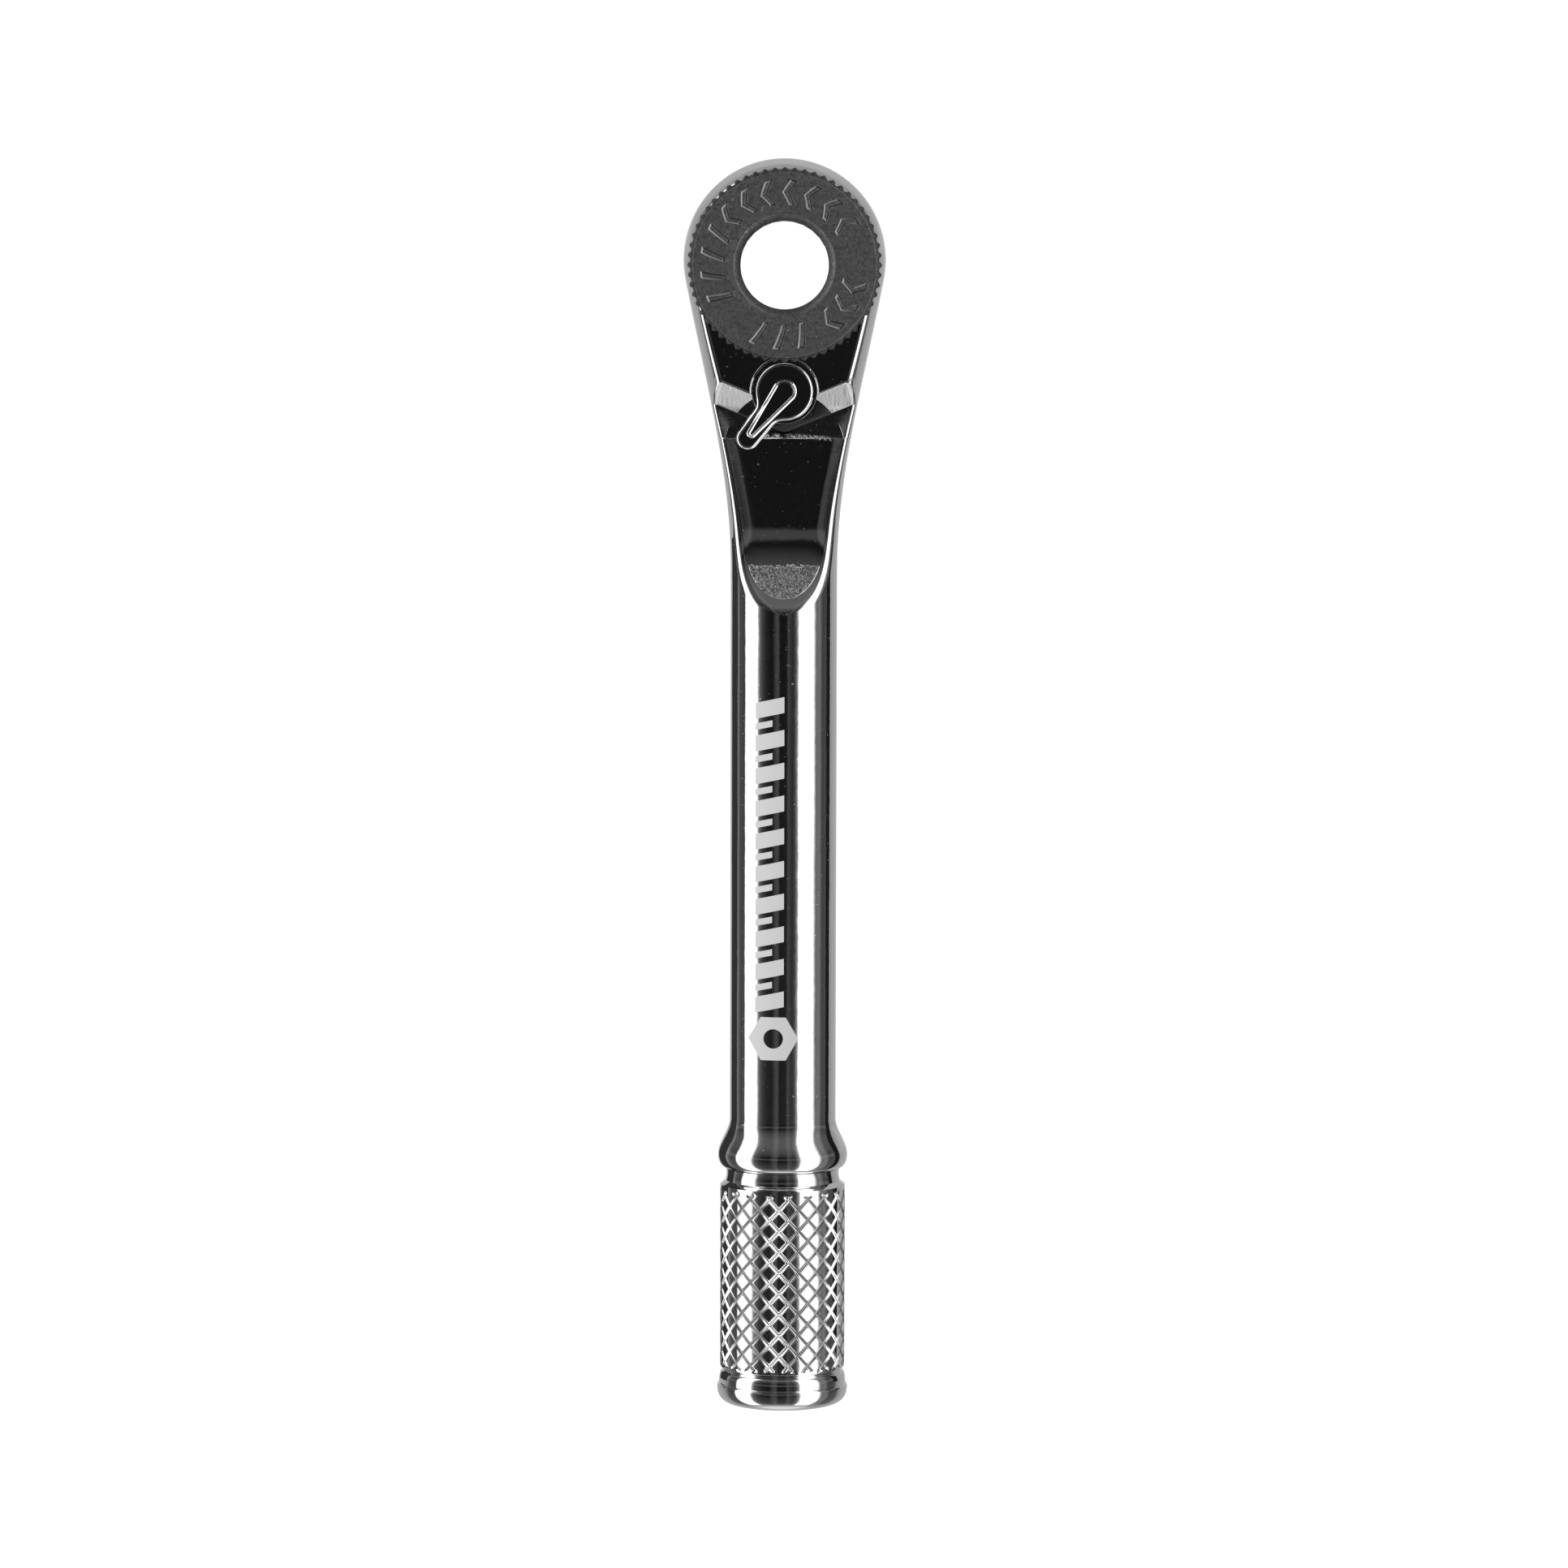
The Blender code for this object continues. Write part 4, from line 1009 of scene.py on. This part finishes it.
def body_chrome():
    """The body's chrome: etched band, frosted patch on the ramp, milled strip, and slightly wavy plating."""
    made, nodes, shader, place = new_material("chrome_body")
    x, y, z = nodes.split(place)
    x, down, z = nodes.math("DIVIDE", x, MM), nodes.math("DIVIDE", y, -MM), nodes.math("DIVIDE", z, MM)
    side = nodes.math("ABSOLUTE", x)
    coarse = nodes.noise(place, 1 / (2.6 * MM), 2)
    marks = nodes.noise(place, 1 / (0.4 * MM), 5, 0.65)
    speck = nodes.noise(place, 1 / (0.17 * MM), 3, 0.7)
    pits = nodes.step(nodes.noise(place, 1 / (0.22 * MM), 1, 0.5), 0.73, 0.78)
    streaks = nodes.add("ShaderNodeMapping")
    streaks.inputs["Scale"].default_value = (1.0, 0.12, 0.12)
    nodes.link(place, streaks.inputs["Vector"])
    brushed = nodes.noise(streaks.outputs[0], 1 / (0.22 * MM), 4, 0.6)

    front = nodes.step(z, 0.0, 1.0)
    etched = nodes.overlap(etched_band(nodes, x, down), front, nodes.step(speck, 0.25, 0.45, 0.8, 1.0))
    strip = nodes.overlap(nodes.within(z, *STRIP_Z), nodes.within(down, *STRIP_DOWN))
    strip = nodes.overlap(strip, nodes.step(side, 4.4, 4.2))
    facet = nodes.overlap(nodes.within(z, *FACET_Z), nodes.within(down, *FACET_DOWN))
    facet = nodes.overlap(facet, nodes.step(side, 5.0, 4.9))
    frosted = frosted_patch(nodes, side, down, z, marks)
    matte = nodes.math("ADD", frosted, ridge_line(nodes, side, down, z, marks), clamp=True)

    plated = nodes.mix(coarse, grey(0.82), grey(0.88))
    tone = nodes.mix(matte, plated, nodes.mix(nodes.step(speck, 0.36, 0.66), grey(0.22), grey(0.80)))
    nodes.link(nodes.mix(etched, tone, grey(0.50)), shader.inputs["Base Color"])
    nodes.link(nodes.math("SUBTRACT", 1.0, etched), shader.inputs["Metallic"])
    rough = nodes.step(marks, 0.35, 0.75, 0.02, 0.07)
    for mask, amount in ((etched, 0.6), (matte, 0.28), (strip, 0.02), (pits, 0.35), (facet, 0.16)):
        rough = nodes.math("MULTIPLY_ADD", mask, amount, rough)
    nodes.link(rough, shader.inputs["Roughness"])
    height = nodes.math("MULTIPLY_ADD", marks, 0.003, nodes.math("MULTIPLY", coarse, 0.020))
    for texture, mask, amount in ((speck, matte, 0.05), (speck, strip, 0.006), (brushed, facet, 0.03)):
        height = nodes.math("MULTIPLY_ADD", nodes.overlap(texture, mask), amount, height)
    nodes.link(nodes.bump(height, 1.0, MM, nodes.bevel(0.05 * MM)), shader.inputs["Normal"])
    return made


def dark_steel():
    """Sintered steel with a dark oxide: dull, mottled and specked, with painted highlight and shade on the
    raised marks' slopes and painted shade on the teeth.
    """
    made, nodes, shader, place = new_material("dark_sintered_steel")
    grain = nodes.noise(place, 1 / (0.16 * MM), 6, 0.7)
    cloud = nodes.noise(place, 1 / (2.2 * MM), 4, 0.6)
    specks = nodes.noise(place, 1 / (0.30 * MM), 2, 0.5)
    mottle = nodes.noise(place, 1 / (0.36 * MM), 5, 0.7)
    tone = nodes.mix(nodes.step(grain, 0.3, 0.7), grey(0.11), grey(0.22))
    tone = nodes.mix(nodes.step(cloud, 0.35, 0.7, 0.0, 0.5), tone, grey(0.15))
    tone = nodes.mix(nodes.step(mottle, 0.54, 0.38, 0.0, 0.42), tone, grey(0.06))
    tone = nodes.mix(nodes.step(specks, 0.70, 0.76), tone, grey(0.34))
    x, y, z = [nodes.math("DIVIDE", part, MM) for part in nodes.split(place)]
    radius = nodes.math("SQRT", nodes.math("ADD", nodes.math("POWER", x, 2.0), nodes.math("POWER", y, 2.0)))
    # Painted highlight and shade: the raised marks' slopes are pale where they face left and near black where
    # they face right, as if lit from the left.
    over_face = nodes.math("SUBTRACT", z, RING_HIGH.z - MARK_RISE)
    painted_light_slopes = nodes.overlap(nodes.within(over_face, 0.015, 0.115, 0.012), nodes.step(radius, 6.2, 6.1))
    facing_right = nodes.split(nodes.add("ShaderNodeNewGeometry").outputs["Normal"])[0]
    painted_shade_share = nodes.step(facing_right, -0.15, 0.10)
    tone = nodes.mix(painted_light_slopes, tone, nodes.mix(painted_shade_share, grey(0.45), grey(0.02)))
    # Painted shade: past the face's rim the serrated teeth are darkened towards near black.
    tone = nodes.mix(nodes.step(radius, RING_FACE_R - 0.01, RING_FACE_R + 0.03, 0.0, 0.7), tone, grey(0.04))
    nodes.link(tone, shader.inputs["Base Color"])
    shader.inputs["Metallic"].default_value = 0.8
    nodes.link(nodes.step(grain, 0.2, 0.8, 0.36, 0.52), shader.inputs["Roughness"])
    nodes.link(nodes.bump(grain, 1.0, 0.022 * MM), shader.inputs["Normal"])
    return made


def rubber():
    made, nodes, shader, place = new_material("seal_rubber")
    bloom = nodes.noise(place, 1 / (0.5 * MM), 4, 0.6)
    nodes.link(nodes.mix(bloom, grey(0.012), grey(0.035)), shader.inputs["Base Color"])
    nodes.link(nodes.step(bloom, 0.3, 0.7, 0.55, 0.8), shader.inputs["Roughness"])
    nodes.link(nodes.bump(bloom, 0.2, 0.02 * MM), shader.inputs["Normal"])
    return made


def paint_cad_nodes(hardened, spring, nickel, seal):
    """Finishes for the inner pieces, which keep their CAD shape."""
    finishes = {
        hardened: "ratchet_gear gear_back_washer pawl pawl_pin detent_plunger",
        spring: "gear_bit_ring gear_wave_washer gear_snap_ring lever_clip socket_bit_ring plunger_spring",
        nickel: "socket_magnet",
        seal: "gear_seal lever_seal",
    }
    for material, names in finishes.items():
        for name in names.split():
            mesh = frame["nodes"][name].data
            mesh.materials.clear()
            mesh.materials.append(material)
            mesh.shade_smooth()
            mesh.set_sharp_from_angle(angle=radians(32))


# ---- stage

FLOOR_Z = CAD_BOX[0].z / MM - ORIGIN.z
FLOOR_HALF = 3000
FLAG_Y = (-81.3, -20)
LAMP_PLACE = (-210, 150, 330)
LAMP_AIM = (0, -20, 0)
LAMP_SIZE_M = 0.16
LAMP_WATTS = 1.1
CAMERA_PLACE = Vector((-0.04, -4.26, 400))
CAMERA_AIM = Vector((-0.04, -37.25, 0))
CAMERA_LEAN = radians(0.135)
SENSOR_MM = 36.0
LENS_MM = 127.677
EVEN_LIGHT = 0.75  # what dull surfaces get from the room


def make_floor():
    """A pale floor, not seen in the chrome, that the tool lies on."""
    made, _, shader, _ = new_material("pale_floor")
    shader.inputs["Base Color"].default_value = grey(0.3)
    shader.inputs["Roughness"].default_value = 0.9
    shader.inputs["Emission Color"].default_value = grey(1.0)
    shader.inputs["Emission Strength"].default_value = 1.0
    bm = bmesh.new()
    bmesh.ops.create_grid(bm, x_segments=1, y_segments=1, size=FLOOR_HALF)
    bmesh.ops.translate(bm, vec=(0, 0, FLOOR_Z), verts=bm.verts)
    floor_plane = finish_mesh("floor", bm, made)
    floor_plane.visible_glossy = False


def make_flag(name, x_low, x_high, brightness):
    """A dark strip lying beside the handle, seen only in the chrome: it darkens the handle's outer edge."""
    made = bpy.data.materials.new(name)
    made.use_nodes = True
    nodes = Nodes(made.node_tree)
    made.node_tree.nodes.clear()
    glow = nodes.add("ShaderNodeEmission")
    glow.inputs["Color"].default_value = grey(brightness)
    nodes.link(glow.outputs[0], nodes.add("ShaderNodeOutputMaterial").inputs[0])
    y_low, y_high = FLAG_Y
    bm = bmesh.new()
    corners = ((x_low, y_low), (x_high, y_low), (x_high, y_high), (x_low, y_high))
    bm.faces.new([bm.verts.new((x, y, FLOOR_Z + 0.1)) for x, y in corners])
    flag = finish_mesh(name, bm, made)
    flag.visible_camera = False
    flag.visible_diffuse = False
    flag.visible_shadow = False


# The studio seen in the chrome. Overhead bands, by angle from straight up towards +X:
OVERHEAD = (
    (-95, 0.15), (-92.5, 1.6), (-60, 1.6), (-56, 0.32), (-52, 0.10), (-45, 0.04), (-37, 0.015),
    (-25, 0.006), (-21, 0.02), (-16, 0.055), (-11, 0.055), (-8, 0.006), (3, 0.008), (7, 0.012),
    (10, 0.06), (14, 0.04), (20, 0.022), (26, 0.07), (31, 0.35), (34, 1.6), (67, 1.6), (71, 0.6),
    (75, 0.14), (84, 0.18), (90, 0.10), (95, 0.15),
)
# What the ends of the room add, by angle from the level of the handle's cross section towards +Y:
ENDS = (
    (-90, 0.80), (-75, 0.78), (-62, 0.28), (-45, 0.05), (-8, 0.01), (-3, 0.0), (2, 0.0), (4, 0.045),
    (10, 0.05), (13, 0.0), (16, 0.0), (24, 0.03), (34, 0.06), (50, 0.12), (90, 0.12),
)
# Below the horizon, by the downward part of the direction, from straight down to level:
BELOW = (
    (-1.0, 1.0), (-0.985, 0.72), (-0.95, 0.50), (-0.88, 0.42), (-0.7, 0.38), (-0.52, 0.31),
    (-0.42, 0.17), (-0.33, 0.07), (0.0, 0.05),
)
BEYOND_HEAD = 0.22  # the least brightness below the horizon on the head's side
BRIGHTEST = 2.0


def light_ramp(nodes, value, entries, low, high):
    """Brightness looked up in a table of (value, brightness) between low and high."""
    share = nodes.add("ShaderNodeMapRange")
    nodes.link(value, share.inputs[0])
    share.inputs[1].default_value = low
    share.inputs[2].default_value = high
    ramp_node = nodes.add("ShaderNodeValToRGB")
    elements = ramp_node.color_ramp.elements
    while len(elements) < len(entries):
        elements.new(0.5)
    for element, (at, bright) in zip(elements, entries):
        element.position = (at - low) / (high - low)
        element.color = grey(bright / BRIGHTEST)
    nodes.link(share.outputs[0], ramp_node.inputs[0])
    return nodes.math("MULTIPLY", ramp_node.outputs[0], BRIGHTEST)


def background(nodes, colour, strength=1.0):
    node = nodes.add("ShaderNodeBackground")
    nodes.put(colour, node.inputs[0])
    nodes.put(strength, node.inputs[1])
    return node.outputs[0]


def choose(nodes, share, first, second):
    node = nodes.add("ShaderNodeMixShader")
    for source, socket in zip((share, first, second), node.inputs):
        nodes.link(source, socket)
    return node.outputs[0]


def studio_brightness(nodes):
    """What the chrome sees in each direction."""
    x, y, z = nodes.split(nodes.add("ShaderNodeTexCoord").outputs["Generated"])
    turn = nodes.math("DEGREES", nodes.math("ARCTAN2", x, z))
    tilt = nodes.math("DEGREES", nodes.math("ARCSINE", y))
    overhead = light_ramp(nodes, turn, OVERHEAD, -100, 100)
    overhead = nodes.math("MULTIPLY", overhead, nodes.step(nodes.math("ABSOLUTE", y), 0.90, 0.80))
    below = light_ramp(nodes, z, BELOW, -1, 0)
    below = nodes.math("MAXIMUM", below, nodes.step(y, 0.5, 0.7, 0.0, BEYOND_HEAD))
    studio = nodes.mix(nodes.step(z, -0.06, 0.02), below, overhead)
    return nodes.math("ADD", studio, light_ramp(nodes, tilt, ENDS, -90, 90))


def make_world():
    """The studio for reflections, a plain white backdrop for the camera and even light for the rest."""
    world = bpy.data.worlds.new("studio")
    bpy.context.scene.world = world
    world.use_nodes = True
    world.node_tree.nodes.clear()
    nodes = Nodes(world.node_tree)
    ray = nodes.add("ShaderNodeLightPath")
    glow = background(nodes, studio_brightness(nodes))
    even_light = background(nodes, grey(1.0), EVEN_LIGHT)
    by_gloss = choose(nodes, ray.outputs["Is Glossy Ray"], even_light, glow)
    by_camera = choose(nodes, ray.outputs["Is Camera Ray"], by_gloss, background(nodes, grey(1.0)))
    nodes.link(by_camera, nodes.add("ShaderNodeOutputWorld").inputs[0])


def make_key_light():
    """A soft lamp from the upper left, which models the ring's marks and the edges."""
    light = bpy.data.lights.new("key", "AREA")
    light.size = LAMP_SIZE_M
    light.energy = LAMP_WATTS
    light.specular_factor = 0.25
    lamp = bpy.data.objects.new("key", light)
    bpy.context.scene.collection.objects.link(lamp)
    lamp.location = (ORIGIN + Vector(LAMP_PLACE)) * MM
    target = (ORIGIN + Vector(LAMP_AIM)) * MM
    lamp.rotation_euler = (lamp.location - target).to_track_quat("Z", "Y").to_euler()
    lamp.visible_glossy = False


def make_camera():
    """Looks straight down on the face with the ring from 400 mm, tilted a little to centre the tool."""
    data = bpy.data.cameras.new("camera")
    data.sensor_width = SENSOR_MM
    data.lens = LENS_MM
    data.clip_start = 0.02
    data.clip_end = 10
    camera = bpy.data.objects.new("camera", data)
    bpy.context.scene.collection.objects.link(camera)
    bpy.context.scene.camera = camera
    camera.location = (ORIGIN + CAMERA_PLACE) * MM
    back = CAMERA_PLACE - CAMERA_AIM
    camera.rotation_euler = (-atan2(back.y, back.z), 0, CAMERA_LEAN)


def main():
    make_body(body_chrome())
    make_ring(dark_steel())
    chrome = metal("chrome", 0.84, 0.045)
    make_lever(chrome)
    make_knurled_end(chrome)
    hardened = metal("hardened_steel", 0.34, 0.32, grain=0.08, grain_size=0.25, bevel=0.06)
    spring = metal("spring_steel", 0.46, 0.28, grain=0.08, bevel=0.04)
    nickel = metal("nickel", 0.66, 0.22, grain=0.08, bevel=0.06)
    paint_cad_nodes(hardened, spring, nickel, rubber())
    make_floor()
    make_flag("left_flag", -15.5, -7.0, 0.035)
    make_flag("right_flag", 15, 27, 0.012)
    make_world()
    make_key_light()
    make_camera()
    bpy.context.scene.view_settings.view_transform = "Standard"


main()
